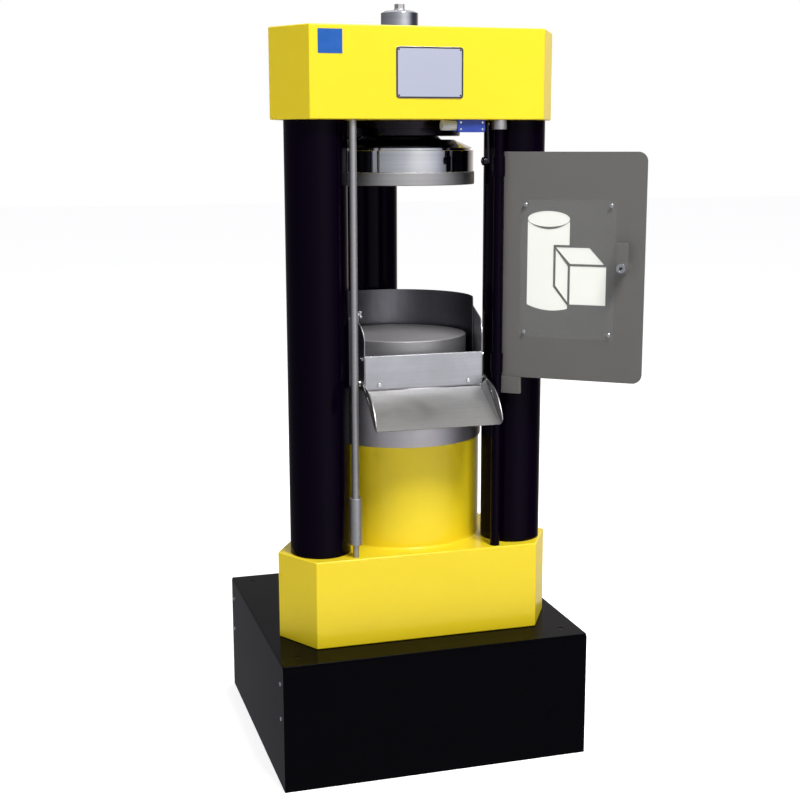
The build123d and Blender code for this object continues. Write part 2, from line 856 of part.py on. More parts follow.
def wall_plane(side, offset=0.0):
    """Plane of a tray wall: x runs rearwards from its front corner, y is up."""
    normal_x, normal_y = polar(1, wall_normal)
    start_x = tray_front_half + offset * normal_x
    start_y = -tray_front + offset * normal_y
    return Plane(
        origin=(side * start_x, start_y, tray_floor_low),
        x_dir=(side * wall_dir[0], wall_dir[1], 0),
        z_dir=(normal_x, side * normal_y, 0),
    )


def tray_wall(side):
    """Side wall of the tray: upright at the front, then curved back to its top edge."""
    with BuildPart() as wall:
        with BuildSketch(wall_plane(side)):
            with BuildLine():
                Line((0, 0), (0, wall_front_height))
                ThreePointArc((0, wall_front_height), (wall_curve / 4, wall_shoulder), (wall_curve, wall_height))
                Polyline((wall_curve, wall_height), (wall_length, wall_back_height), (wall_length, 0), (0, 0))
            make_face()
            if side < 0:
                with Locations((wall_curve, wing_height - wing_ear)):
                    SlotOverall(4 * wing_ear, 2 * wing_ear, rotation=90)
        extrude(amount=side * tray_sheet)
        with BuildSketch(Plane.YZ):
            with Locations((pin_y, pin_z)):
                Circle(chute_pin_radius + fit_gap)
        extrude(amount=side * 2 * tray_circle, mode=Mode.SUBTRACT)
    return wall


for side, name in ((-1, "tray_side_left"), (1, "tray_side_right")):
    export(tray_wall(side), name)

guard_start = -degrees(atan2(guard_end_y, sqrt(tray_circle**2 - guard_end_y**2)))
with BuildPart() as rear_guard:
    with BuildSketch(Plane.XZ.rotated((0, 0, guard_start))):
        with Locations((tray_circle - tray_sheet / 2, tray_floor + guard_height / 2)):
            Rectangle(tray_sheet, guard_height)
    revolve(axis=Axis.Z, revolution_arc=180 - 2 * guard_start)
    corners = rear_guard.edges().filter_by(GeomType.LINE).group_by(Axis.Z)[-1]
    fillet(corners, guard_corner)
export(rear_guard, "rear_guard")

with BuildPart() as tray_screws:
    for side in (-1, 1):
        with BuildSketch(wall_plane(side, tray_sheet)):
            with Locations((screw_u, tray_plate + tray_screw_z)):
                Circle(tray_screw_radius)
            with Locations((wall_length - 3 * tray_screw_radius, tray_plate + tray_screw_z)):
                Circle(tray_screw_radius)
        extrude(amount=side * tray_screw_head)
    with BuildSketch(Plane.XZ.offset(tray_front + tray_sheet)):
        for side in (-1, 1):
            with Locations((side * (tray_front_half - front_screw_inset), tray_floor + 2 * tray_screw_radius)):
                Circle(tray_screw_radius)
    extrude(amount=tray_screw_head)
export(tray_screws, "tray_screws")

with BuildPart() as wing_screw:
    with BuildSketch(wall_plane(-1)):
        with Locations((wall_curve, wing_height)):
            Circle(wing_stem)
    extrude(amount=wing_length)
    with BuildSketch(wall_plane(-1).offset(wing_length / 2)):
        with Locations((wall_curve, wing_height)):
            SlotOverall(wing_span, wing_blade, rotation=35)
            SlotOverall(wing_span, wing_blade, rotation=125)
    extrude(amount=wing_length / 2)
export(wing_screw, "wing_screw")

pin_wall_x = tray_front_half + pin_u * wall_dir[0]
with BuildPart() as chute_pins:
    with BuildSketch(Plane.YZ):
        with Locations((pin_y, pin_z)):
            Circle(chute_pin_radius)
    extrude(amount=chute_half + chute_cheek + fit_gap + pin_head_length, both=True)
    with BuildSketch(Plane.YZ):
        with Locations((pin_y, pin_z)):
            Rectangle(4 * pin_head, 4 * pin_head)
    extrude(amount=pin_wall_x - tray_sheet, both=True, mode=Mode.SUBTRACT)
    for side in (-1, 1):
        with BuildSketch(Plane.YZ.offset(side * (chute_half + chute_cheek + fit_gap))):
            with Locations((pin_y, pin_z)):
                Circle(pin_head)
        extrude(amount=side * pin_head_length)
export(chute_pins, "chute_pins")

chute_back_z = tray_floor_low + tray_plate - chute_back_drop
chute_front_z = tray_floor - chute_front_drop
chute_slope = atan2(chute_back_z - chute_front_z, chute_front_y - chute_back_y)
chute_top = door_low - chute_cheek_gap


def channel(floor_half, floor_z):
    """Corners of the chute's section: upright cheeks joined to the floor by sloping folds."""
    fold = floor_z + chute_half - floor_half
    low = floor_z - chute_cheek
    right = [
        (floor_half, floor_z),
        (chute_half, fold + chute_cheek / 2),
        (chute_half, chute_sky),
        (chute_half + chute_cheek, chute_sky),
        (chute_half + chute_cheek, fold),
        (floor_half + chute_cheek / 2, low),
    ]
    return right + [(-x, z) for x, z in reversed(right)]


chute_sky = pin_z + 3 * chute_pin_height
chute_tip_floor = chute_front_z - (chute_tip_y - chute_front_y) * tan(chute_slope)
widening = (chute_front_half - chute_back_half) / (chute_front_y - chute_back_y)
chute_tip_half = chute_front_half + widening * (chute_tip_y - chute_front_y)
with BuildPart() as chute:
    with BuildSketch(Plane.XZ.offset(chute_back_y)):
        Polygon(*channel(chute_back_half, chute_back_z), align=None)
    with BuildSketch(Plane.XZ.offset(chute_tip_y)):
        Polygon(*channel(chute_tip_half, chute_tip_floor), align=None)
    loft(ruled=True)
    for side in (-1, 1):
        with BuildSketch(Plane.YZ.offset(side * chute_half)):
            with Locations(((pin_y - chute_back_y) / 2, pin_z)):
                Rectangle(chute_back_y + pin_y + 2 * chute_lug, 2 * chute_lug)
            with Locations((pin_y, pin_z)):
                Circle(chute_lug)
        extrude(amount=side * chute_cheek)
    with BuildSketch(Plane.YZ):
        with BuildLine():
            Polyline(
                (pin_y + chute_lug, pin_z),
                (pin_y + chute_lug - 2, pin_z - 11),
                (-chute_back_y, chute_back_z - chute_cheek),
                (-chute_front_y, chute_front_z - chute_cheek),
                (-chute_tip_y, tray_floor - chute_tip_drop),
            )
            ThreePointArc(
                (-chute_tip_y, tray_floor - chute_tip_drop),
                (-chute_tip_y + cheek_bow_back, tray_floor - chute_tip_drop + cheek_bow_up),
                (-chute_back_y - cheek_top_start, chute_top),
            )
            Line((-chute_back_y - cheek_top_start, chute_top), (pin_y, pin_z + chute_lug))
            ThreePointArc(
                (pin_y, pin_z + chute_lug),
                (pin_y + chute_lug * sin(radians(45)), pin_z + chute_lug * sin(radians(45))),
                (pin_y + chute_lug, pin_z),
            )
        make_face()
    extrude(amount=2 * chute_half, both=True, mode=Mode.INTERSECT)
    with BuildSketch(Plane.YZ):
        with Locations((pin_y, pin_z)):
            Circle(chute_pin_radius + running)
        for along in (slot_first, slot_second):
            with Locations((pin_y - along, pin_z - along * tan(chute_slope) + slot_rise)):
                SlotOverall(slot_length, slot_width, rotation=degrees(chute_slope))
    extrude(amount=2 * chute_half, both=True, mode=Mode.SUBTRACT)
export(chute, "chute")


# Door posts, hinge and strike

with BuildPart() as strike_post:
    with BuildSketch(Plane.XY.offset(beam_top + sleeve_high)):
        with Locations((-post_x, -post_y)):
            Circle(strike_radius)
    extrude(amount=clear_height - sleeve_high + hinge_depth - 1)
    with BuildSketch(Plane.XY.offset(beam_top - hinge_depth + 1)):
        with Locations((-post_x, -post_y)):
            Circle(strike_spigot_radius)
    extrude(amount=sleeve_high + hinge_depth - 1)
export(strike_post, "strike_post")

with BuildPart() as strike_sleeve:
    with BuildSketch(Plane.XY.offset(beam_top + sleeve_low)):
        with Locations((-post_x, -post_y)):
            Circle(sleeve_radius)
    extrude(amount=sleeve_high - sleeve_low)
    chamfer(strike_sleeve.edges(), 1.5)
    with BuildSketch(Plane.XY.offset(beam_top + sleeve_low)):
        with Locations((-post_x, -post_y)):
            Circle(strike_spigot_radius + fit_gap)
    extrude(amount=sleeve_high - sleeve_low, mode=Mode.SUBTRACT)
export(strike_sleeve, "strike_sleeve")

with BuildPart() as hinge_post:
    with BuildSketch(Plane.XY.offset(beam_top - hinge_depth + 1)):
        with Locations((post_x, -post_y)):
            Circle(hinge_radius)
    extrude(amount=clear_height + 2 * hinge_depth - 2)
export(hinge_post, "hinge_post")

with BuildPart() as hinge_bush:
    with BuildSketch(Plane.XY.offset(crosshead_low)):
        with Locations((post_x, -post_y)):
            Circle(bush_radius)
    extrude(amount=-bush_height)
    chamfer(hinge_bush.faces().sort_by(Axis.Z)[0].edges(), 1.0)
    with BuildSketch(Plane.XY.offset(crosshead_low)):
        with Locations((post_x, -post_y)):
            Circle(hinge_radius + fit_gap)
    extrude(amount=-bush_height, mode=Mode.SUBTRACT)
export(hinge_bush, "hinge_bush")

# The open door's frame: x runs from the hinge to the free edge, z is up, -y is the door's outer side
door_plane = Plane(
    origin=(post_x, -post_y, 0),
    x_dir=(cos(radians(door_open_angle)), -sin(radians(door_open_angle)), 0),
    z_dir=(-sin(radians(door_open_angle)), -cos(radians(door_open_angle)), 0),
)
inner_face = door_plane.offset(-door_inner)
outer_face = door_plane.offset(-door_inner - door_sheet)

with BuildPart() as support_lug:
    with BuildSketch(door_plane.offset(-lug_start)):
        with Locations(((lug_end - hinge_radius) / 2, door_low - lug_height / 2 - fit_gap)):
            Rectangle(lug_end + hinge_radius, lug_height)
    extrude(amount=-lug_thick)
    with BuildSketch(Plane.XY.offset(door_low - lug_height - fit_gap)):
        with Locations((post_x, -post_y)):
            Circle(hinge_radius)
    extrude(amount=lug_height, mode=Mode.SUBTRACT)
    chamfer(support_lug.edges().filter_by(Axis.Z).sort_by(Axis.X)[-2:], 1.0)
export(support_lug, "support_lug")

with BuildPart() as door_barrels:
    for low in (door_low + barrel_inset, door_high - barrel_inset - barrel_height):
        with BuildSketch(Plane.XY.offset(low)):
            with Locations((post_x, -post_y)):
                Circle(barrel_radius)
        extrude(amount=barrel_height)
        with BuildSketch(outer_face):
            with Locations((strap_end / 2 - strap_tail, low + barrel_height / 2)):
                Rectangle(strap_end, barrel_height)
        extrude(amount=-strap_thick)
        with BuildSketch(outer_face):
            with Locations((0, low + barrel_height / 2)):
                Rectangle(2 * strap_tail, barrel_height)
        extrude(amount=door_inner / 2)
        with BuildSketch(Plane.XY.offset(low)):
            with Locations((post_x, -post_y)):
                Circle(hinge_radius + running)
        extrude(amount=barrel_height, mode=Mode.SUBTRACT)
export(door_barrels, "door_barrels")

icon_mid = (icon_left + icon_right) / 2
icon_half = (icon_right - icon_left) / 2
with BuildPart() as door_leaf:
    with BuildSketch(outer_face):
        with Locations(((door_start + door_end) / 2, (door_low + door_high) / 2)):
            RectangleRounded(door_end - door_start, door_high - door_low, door_corner)
        with Locations((door_start + door_corner, (door_low + door_high) / 2)):
            Rectangle(2 * door_corner, door_high - door_low)
        with Locations((icon_mid, icon_top)):
            Ellipse(icon_half, icon_ellipse, mode=Mode.SUBTRACT)
        with BuildLine():
            body_top = icon_top - icon_web
            cube_web = cube_left - cube_shift_s - icon_web
            shoulder = cube_high + cube_shift_z + icon_web
            ThreePointArc((icon_left, body_top), (icon_mid, body_top - icon_ellipse), (icon_right, body_top))
            Line((icon_right, body_top), (icon_right, shoulder))
            Line((icon_right, shoulder), (cube_web, shoulder))
            Line((cube_web, shoulder), (cube_web, cube_low + cube_shift_z - icon_web / 2))
            Line(
                (cube_web, cube_low + cube_shift_z - icon_web / 2),
                (cube_left - icon_web, cube_low - icon_web / 2),
            )
            Line((cube_left - icon_web, cube_low - icon_web / 2), (cube_left - icon_web, icon_bottom - icon_bottom_step))
            ThreePointArc(
                (cube_left - icon_web, icon_bottom - icon_bottom_step),
                (icon_mid, icon_bottom - icon_bottom_sag),
                (icon_left, icon_bottom),
            )
            Line((icon_left, icon_bottom), (icon_left, body_top))
        make_face(mode=Mode.SUBTRACT)
        with Locations(((cube_left + cube_right) / 2, (cube_low + cube_high) / 2)):
            Rectangle(cube_right - cube_left, cube_high - cube_low, mode=Mode.SUBTRACT)
        with BuildLine():
            Polyline(
                (cube_left, cube_high + icon_web),
                (cube_right - icon_web, cube_high + icon_web),
                (cube_right - cube_shift_s - icon_web, cube_high + cube_shift_z),
                (cube_left - cube_shift_s, cube_high + cube_shift_z),
                close=True,
            )
        make_face(mode=Mode.SUBTRACT)
        with BuildLine():
            Polyline(
                (cube_left - icon_web, cube_high),
                (cube_left - icon_web, cube_low + icon_web),
                (cube_left - cube_shift_s, cube_low + cube_shift_z),
                (cube_left - cube_shift_s, cube_high + cube_shift_z - icon_web),
                close=True,
            )
        make_face(mode=Mode.SUBTRACT)
        with Locations((latch_s, latch_z)):
            Circle(spindle_radius + running, mode=Mode.SUBTRACT)
    extrude(amount=door_sheet)
export(door_leaf, "door_leaf")

with BuildPart() as door_window:
    with BuildSketch(inner_face):
        with Locations((pane_s, pane_z)):
            RectangleRounded(pane_width, pane_height, pane_corner)
    extrude(amount=pane_thick)
export(door_window, "door_window")

with BuildPart() as window_screws:
    with BuildSketch(inner_face.offset(pane_thick)):
        with Locations((pane_s, pane_z)):
            with GridLocations(2 * pane_screw_s, 2 * pane_screw_z, 2, 2):
                Circle(pane_screw_radius)
    extrude(amount=pane_screw_head)
export(window_screws, "window_screws")

with BuildPart() as latch_hub:
    with BuildSketch(inner_face):
        with Locations((latch_s, latch_z)):
            Circle(hub_radius)
            Circle(spindle_radius + running, mode=Mode.SUBTRACT)
    extrude(amount=tongue_depth - tongue_clearance)
    chamfer(latch_hub.faces().sort_by(Axis.Y)[0].edges().sort_by(SortBy.RADIUS)[-1], 1.0)
export(latch_hub, "latch_hub")

with BuildPart() as latch_knob:
    with BuildSketch(inner_face.offset(spindle_depth)):
        with Locations((latch_s, latch_z)):
            Circle(spindle_radius)
    extrude(amount=-(spindle_depth + door_sheet + fit_gap + 1))
    with BuildSketch(outer_face.offset(-fit_gap)):
        with Locations((latch_s, latch_z)):
            Circle(knob_radius)
    extrude(amount=-knob_length)
    fillet(latch_knob.edges().filter_by(GeomType.CIRCLE).sort_by(SortBy.RADIUS)[-2:], 3.0)
    with BuildSketch(inner_face.offset(tongue_depth + tongue_thick)):
        with Locations((latch_s, latch_z)):
            Circle(hub_radius)
    extrude(amount=spindle_depth - tongue_depth - tongue_thick)
    with BuildSketch(inner_face.offset(spindle_depth)):
        with Locations((latch_s, latch_z)):
            RegularPolygon(socket_radius, 6)
    extrude(amount=-socket_radius * 2, mode=Mode.SUBTRACT)
export(latch_knob, "latch_knob")

with BuildPart() as latch_tongue:
    with BuildSketch(inner_face.offset(tongue_depth)):
        with Locations((latch_s, latch_z)):
            Circle(tongue_width / 2)
        with Locations((latch_s, latch_z + tongue_reach / 2)):
            Rectangle(tongue_width, tongue_reach)
        with Locations((latch_s, latch_z)):
            Circle(spindle_radius + running, mode=Mode.SUBTRACT)
    extrude(amount=tongue_thick)
    fillet(latch_tongue.edges().filter_by(lambda e: e.length < tongue_thick + 1).sort_by(Axis.Z)[-2:], 4.0)
export(latch_tongue, "latch_tongue")


# Door switch

lever_z = crosshead_low - lever_drop
roller_y = -switch_y - lever_forward
roller_z = lever_z - lever_reach
with BuildPart() as switch_body:
    with BuildSketch(Plane.XY.offset(crosshead_low)):
        with Locations((switch_x + switch_length / 2, -switch_y)):
            Rectangle(switch_length, switch_depth)
    extrude(amount=-switch_height)
    chamfer(switch_body.faces().sort_by(Axis.Z)[0].edges().filter_by(Axis.Y), 4.0)
    fillet(switch_body.edges().filter_by(Axis.Z), 2.0)
    with BuildSketch(Plane.YZ.offset(switch_x + switch_length)):
        with Locations((-switch_y, lever_z)):
            Circle(spindle_size + running)
    extrude(amount=-switch_bearing, mode=Mode.SUBTRACT)
export(switch_body, "switch_body")

gland_z = crosshead_low - gland_radius + 1
with BuildPart() as switch_gland:
    with BuildSketch(Plane.YZ.offset(switch_x)):
        with Locations((-switch_y, gland_z)):
            Circle(gland_radius - 2)
    extrude(amount=-gland_length)
    with BuildSketch(Plane.YZ.offset(switch_x - gland_length)):
        with Locations((-switch_y, gland_z)):
            RegularPolygon(gland_radius - 1, 6)
    extrude(amount=gland_length * 0.6)
export(switch_gland, "switch_gland")

with BuildPart() as switch_lever:
    with BuildSketch(Plane.YZ.offset(lever_x)):
        with Locations((-switch_y, lever_z)):
            Circle(lever_hub)
        with Locations((roller_y, roller_z)):
            Circle(lever_end)
        make_hull()
    extrude(amount=lever_thick)
    with BuildSketch(Plane.YZ.offset(lever_x + lever_thick + 2)):
        with Locations((-switch_y, lever_z)):
            Circle(spindle_size)
    extrude(amount=switch_x + switch_length - switch_bearing + 1 - lever_x - lever_thick - 2)
    with BuildSketch(Plane.YZ.offset(lever_x)):
        with Locations((roller_y, roller_z)):
            Circle(roller_pin)
    extrude(amount=-roller_width - 2 * fit_gap)
    with BuildSketch(Plane.YZ.offset(lever_x - roller_width - 2 * fit_gap)):
        with Locations((roller_y, roller_z)):
            Circle(roller_pin + 2)
    extrude(amount=-2)
export(switch_lever, "switch_lever")

with BuildPart() as switch_roller:
    with BuildSketch(Plane.YZ.offset(lever_x - fit_gap)):
        with Locations((roller_y, roller_z)):
            Circle(roller_radius)
            Circle(roller_pin + running, mode=Mode.SUBTRACT)
    extrude(amount=-roller_width)
export(switch_roller, "switch_roller")


# Plates on the crosshead

crosshead_front = Plane.XZ.offset(block_face)
with BuildPart() as nameplate:
    with BuildSketch(crosshead_front):
        with Locations((0, crosshead_low + nameplate_centre)):
            RectangleRounded(nameplate_width, nameplate_height, nameplate_corner)
    extrude(amount=nameplate_thick)
export(nameplate, "nameplate")

with BuildPart() as label_plate:
    with BuildSketch(crosshead_front):
        with Locations((label_x, crosshead_low + label_centre)):
            Rectangle(label_width, label_height)
    extrude(amount=label_thick)
export(label_plate, "label_plate")
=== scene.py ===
"""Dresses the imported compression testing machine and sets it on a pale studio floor."""

import math

import bmesh
import bpy
from bpy.props import FloatProperty, FloatVectorProperty, IntProperty, PointerProperty
from mathutils import Matrix, Vector


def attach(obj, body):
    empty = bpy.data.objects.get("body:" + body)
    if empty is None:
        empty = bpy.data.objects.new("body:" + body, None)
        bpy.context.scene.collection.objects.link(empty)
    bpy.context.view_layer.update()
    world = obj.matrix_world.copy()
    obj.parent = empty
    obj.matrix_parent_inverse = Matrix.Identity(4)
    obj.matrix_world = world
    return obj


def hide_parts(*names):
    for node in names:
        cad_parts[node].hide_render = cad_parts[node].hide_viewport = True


bl_info = {
    "name": "Compression Testing Machine",
    "version": (1, 0, 0),
    "blender": (4, 5, 0),
    "location": "View3D > Sidebar > Testing Machine",
    "description": "Builds the finished surfaces of a three-column compression testing machine",
    "category": "Object",
}

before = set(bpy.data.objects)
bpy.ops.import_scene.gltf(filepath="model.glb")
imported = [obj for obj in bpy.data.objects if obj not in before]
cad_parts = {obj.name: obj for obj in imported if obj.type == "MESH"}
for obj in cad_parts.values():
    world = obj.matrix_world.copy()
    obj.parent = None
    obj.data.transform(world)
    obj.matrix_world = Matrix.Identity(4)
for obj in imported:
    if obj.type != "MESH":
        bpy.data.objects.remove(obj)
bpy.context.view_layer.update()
MM = 0.001


def colour_setting(name, description, default):
    """A linear colour that a user can change."""
    return FloatVectorProperty(
        name=name, description=description, default=default, subtype="COLOR", min=0.0, max=1.0
    )


def length_setting(name, description, default):
    """A length in metres that a user can change."""
    return FloatProperty(
        name=name, description=description, default=default, unit="LENGTH", subtype="DISTANCE",
        min=0.0, precision=4,
    )


def power_setting(name, description, default):
    """The power of a light in watts."""
    return FloatProperty(name=name, description=description, default=default, min=0.0, unit="POWER")


class MachineFinish(bpy.types.PropertyGroup):
    """Colours and gloss of the painted and bare surfaces."""

    enamel: colour_setting("Frame enamel", "Yellow of the beam, crosshead and cylinder", (0.92, 0.72, 0.018))
    enamel_shade: colour_setting(
        "Enamel shade", "Deeper yellow where the coat runs thick", (0.88, 0.64, 0.014)
    )
    plinth: colour_setting("Plinth black", "Satin black of the plinth sheets", (0.0008, 0.0008, 0.0018))
    column: colour_setting("Column black", "High gloss black of the columns", (0.0018, 0.0003, 0.0044))
    door: colour_setting("Door grey", "Grey of the door leaf", (0.13, 0.128, 0.122))
    stainless: colour_setting("Stainless sheet", "Bare sheet of the tray and chute", (0.6, 0.6, 0.635))
    steel: colour_setting("Ground steel", "Ground faces of platens and posts", (0.5, 0.49, 0.5))
    polish: colour_setting("Polished steel", "Mirror finish of the platen block and cap", (0.78, 0.79, 0.82))
    label: colour_setting("Label blue", "Plain blue of the small square label", (0.004, 0.085, 0.36))
    plate: colour_setting("Plate", "Pale face of the blank data plate", (0.64, 0.66, 0.8))
    enamel_roughness: FloatProperty(
        name="Enamel roughness", description="Roughness of the yellow enamel", default=0.3, min=0.05, max=1.0,
        subtype="FACTOR",
    )


class MachineDetail(bpy.types.PropertyGroup):
    """Sizes of the small forms that finish the surfaces."""

    sheet_edge: length_setting("Sheet edge", "Rounding of the edges of bare sheet", 0.0004)
    leaf_edge: length_setting("Leaf edge", "Rounding of the edges of the door leaf", 0.0004)
    round_steps: IntProperty(
        name="Round steps", description="Sides of the largest turned pieces", default=192, min=48, max=360
    )


class MachineStage(bpy.types.PropertyGroup):
    """Light and camera of the studio."""

    key_power: power_setting("Key light", "Power of the large front light", 280.0)
    fill_power: power_setting("Fill light", "Power of the weak light on the left", 17.0)
    back_power: power_setting("Back light", "Power of the light behind the machine", 60.0)
    top_power: power_setting("Top light", "Power of the light overhead", 30.0)
    lens: FloatProperty(
        name="Lens", description="Focal length on a 36 mm wide sensor", default=60.9, min=10.0, unit="CAMERA"
    )


# Node helpers


def new_tree(name, kind, inputs, outputs):
    """A node group with named sockets, its input node and its output node."""
    tree = bpy.data.node_groups.new(name, kind)
    for label, socket, value in inputs:
        made = tree.interface.new_socket(label, in_out="INPUT", socket_type=socket)
        if value is not None:
            made.default_value = value
    for label, socket in outputs:
        tree.interface.new_socket(label, in_out="OUTPUT", socket_type=socket)
    return tree, tree.nodes.new("NodeGroupInput"), tree.nodes.new("NodeGroupOutput")


def node(tree, kind, values=None, links=None, **fields):
    """Adds a node, sets its fields and input values, and links its inputs."""
    made = tree.nodes.new(kind)
    for key, value in fields.items():
        setattr(made, key, value)
    for key, value in (values or {}).items():
        made.inputs[key].default_value = value
    for key, source in (links or {}).items():
        tree.links.new(source, made.inputs[key])
    return made


def maths(tree, operation, a, b=None, c=None, clamp=False):
    """A math node on sockets or numbers; returns its output."""
    made = tree.nodes.new("ShaderNodeMath")
    made.operation = operation
    made.use_clamp = clamp
    for slot, value in enumerate((a, b, c)):
        if value is None:
            continue
        if isinstance(value, (int, float)):
            made.inputs[slot].default_value = value
        else:
            tree.links.new(value, made.inputs[slot])
    return made.outputs[0]


def weighed(tree, first, first_share, second, second_share):
    """Sum of two masks, each with its share, clamped to one."""
    return maths(
        tree, "ADD", maths(tree, "MULTIPLY", first, first_share),
        maths(tree, "MULTIPLY", second, second_share), clamp=True,
    )


def remap(tree, value, low, high, to_low, to_high):
    """Maps a value from one range to another and clamps it."""
    made = node(
        tree, "ShaderNodeMapRange",
        {"From Min": low, "From Max": high, "To Min": to_low, "To Max": to_high}, {"Value": value},
    )
    made.clamp = True
    return made.outputs["Result"]


def blend_colours(tree, factor, a, b):
    """Mixes two colours, each a socket or a tuple."""
    made = tree.nodes.new("ShaderNodeMix")
    made.data_type = "RGBA"
    for key, value in (("Factor", factor), ("A", a), ("B", b)):
        slot = next(s for s in made.inputs if s.name == key and s.enabled)
        if hasattr(value, "links"):
            tree.links.new(value, slot)
        elif key == "Factor":
            slot.default_value = value
        else:
            slot.default_value = (*value[:3], 1.0)
    return next(s for s in made.outputs if s.enabled)


# Shared surface effects


def make_peel_group():
    """Fine ripple of sprayed and baked paint."""
    tree, start, end = new_tree(
        "paint_peel", "ShaderNodeTree",
        [("Scale", "NodeSocketFloat", 700.0), ("Coarse share", "NodeSocketFloat", 0.35)],
        [("Height", "NodeSocketFloat")],
    )
    place = node(tree, "ShaderNodeTexCoord").outputs["Object"]
    fine = node(
        tree, "ShaderNodeTexNoise", {"Detail": 2.0}, {"Vector": place, "Scale": start.outputs["Scale"]}
    )
    wide = node(
        tree, "ShaderNodeTexNoise", {"Detail": 1.0},
        {"Vector": place, "Scale": maths(tree, "MULTIPLY", start.outputs["Scale"], 0.16)},
    )
    share = maths(tree, "MULTIPLY", wide.outputs[0], start.outputs["Coarse share"])
    tree.links.new(maths(tree, "ADD", fine.outputs[0], share), end.inputs["Height"])
    return tree


def make_smudge_group():
    """Soft patches left by hands, cloths and handling."""
    tree, start, end = new_tree(
        "handling_marks", "ShaderNodeTree",
        [("Scale", "NodeSocketFloat", 6.0), ("Seed", "NodeSocketFloat", 0.0)],
        [("Mask", "NodeSocketFloat")],
    )
    place = node(tree, "ShaderNodeTexCoord").outputs["Object"]
    wide = node(
        tree, "ShaderNodeTexNoise", {"Detail": 5.0, "Roughness": 0.62, "Distortion": 0.6},
        {"Vector": place, "Scale": start.outputs["Scale"], "W": start.outputs["Seed"]},
        noise_dimensions="4D",
    )
    tree.links.new(remap(tree, wide.outputs[0], 0.36, 0.68, 0.0, 1.0), end.inputs["Mask"])
    return tree


def make_grain_group():
    """Long fine scratches of brushed sheet, run along the vector's first axis."""
    tree, start, end = new_tree(
        "brushed_grain", "ShaderNodeTree",
        [("Along", "NodeSocketVector", (12.0, 900.0, 900.0)), ("Seed", "NodeSocketFloat", 0.0)],
        [("Height", "NodeSocketFloat"), ("Tone", "NodeSocketFloat")],
    )
    place = node(tree, "ShaderNodeTexCoord").outputs["Object"]
    stretch = node(
        tree, "ShaderNodeVectorMath", None, {0: place, 1: start.outputs["Along"]}, operation="MULTIPLY"
    ).outputs[0]
    lines = node(
        tree, "ShaderNodeTexNoise", {"Scale": 1.0, "Detail": 4.0, "Roughness": 0.7},
        {"Vector": stretch, "W": start.outputs["Seed"]}, noise_dimensions="4D",
    )
    soft = node(
        tree, "ShaderNodeTexNoise", {"Scale": 0.13, "Detail": 2.0},
        {"Vector": stretch, "W": start.outputs["Seed"]}, noise_dimensions="4D",
    )
    tree.links.new(lines.outputs[0], end.inputs["Height"])
    tone = weighed(tree, lines.outputs[0], 0.5, soft.outputs[0], 0.5)
    tree.links.new(remap(tree, tone, 0.35, 0.65, 0.0, 1.0), end.inputs["Tone"])
    return tree


def make_turning_group():
    """Rings left by a lathe or a rotary grinder about an upright axis."""
    tree, start, end = new_tree(
        "turning_marks", "ShaderNodeTree",
        [("Pitch", "NodeSocketFloat", 1400.0)],
        [("Height", "NodeSocketFloat"), ("Tone", "NodeSocketFloat")],
    )
    place = node(tree, "ShaderNodeTexCoord").outputs["Object"]
    parts = node(tree, "ShaderNodeSeparateXYZ", None, {0: place})
    squares = [maths(tree, "POWER", parts.outputs[axis], 2.0) for axis in (0, 1)]
    flat = maths(tree, "SQRT", maths(tree, "ADD", *squares))
    ring = node(tree, "ShaderNodeCombineXYZ", None, {0: flat, 1: parts.outputs[2]}).outputs[0]
    fine = node(
        tree, "ShaderNodeTexNoise", {"Detail": 3.0, "Roughness": 0.7},
        {"Vector": ring, "Scale": start.outputs["Pitch"]},
    )
    wide = node(
        tree, "ShaderNodeTexNoise", {"Detail": 2.0},
        {"Vector": ring, "Scale": maths(tree, "MULTIPLY", start.outputs["Pitch"], 0.07)},
    )
    tree.links.new(fine.outputs[0], end.inputs["Height"])
    tone = weighed(tree, fine.outputs[0], 0.4, wide.outputs[0], 0.6)
    tree.links.new(remap(tree, tone, 0.35, 0.65, 0.0, 1.0), end.inputs["Tone"])
    return tree


def make_dust_group():
    """Pale dust that settles on faces that look upwards."""
    tree, start, end = new_tree(
        "settled_dust", "ShaderNodeTree",
        [("Amount", "NodeSocketFloat", 0.3), ("Scale", "NodeSocketFloat", 30.0)],
        [("Mask", "NodeSocketFloat")],
    )
    place = node(tree, "ShaderNodeTexCoord").outputs["Object"]
    up = node(tree, "ShaderNodeSeparateXYZ", None, {0: node(tree, "ShaderNodeNewGeometry").outputs["Normal"]})
    facing = remap(tree, up.outputs[2], 0.55, 0.98, 0.0, 1.0)
    specks = node(
        tree, "ShaderNodeTexNoise", {"Detail": 6.0, "Roughness": 0.75},
        {"Vector": place, "Scale": start.outputs["Scale"]},
    )
    patch = remap(tree, specks.outputs[0], 0.42, 0.72, 0.15, 1.0)
    amount = maths(tree, "MULTIPLY", maths(tree, "MULTIPLY", facing, patch), start.outputs["Amount"])
    tree.links.new(amount, end.inputs["Mask"])
    return tree


EFFECTS = {}
MATERIALS = {}


def effect(tree, name, **values):
    """Places a shared surface effect in a material with its own values."""
    made = tree.nodes.new("ShaderNodeGroup")
    made.node_tree = EFFECTS[name]
    for key, value in values.items():
        made.inputs[key.replace("_", " ").capitalize()].default_value = value
    return made


def blank_material(name):
    """A material with only its Principled shader and output, kept under its name."""
    made = bpy.data.materials.new(name)
    made.use_nodes = True
    tree = made.node_tree
    tree.nodes.clear()
    shader = tree.nodes.new("ShaderNodeBsdfPrincipled")
    out = tree.nodes.new("ShaderNodeOutputMaterial")
    tree.links.new(shader.outputs[0], out.inputs["Surface"])
    MATERIALS[name] = made
    return tree, shader


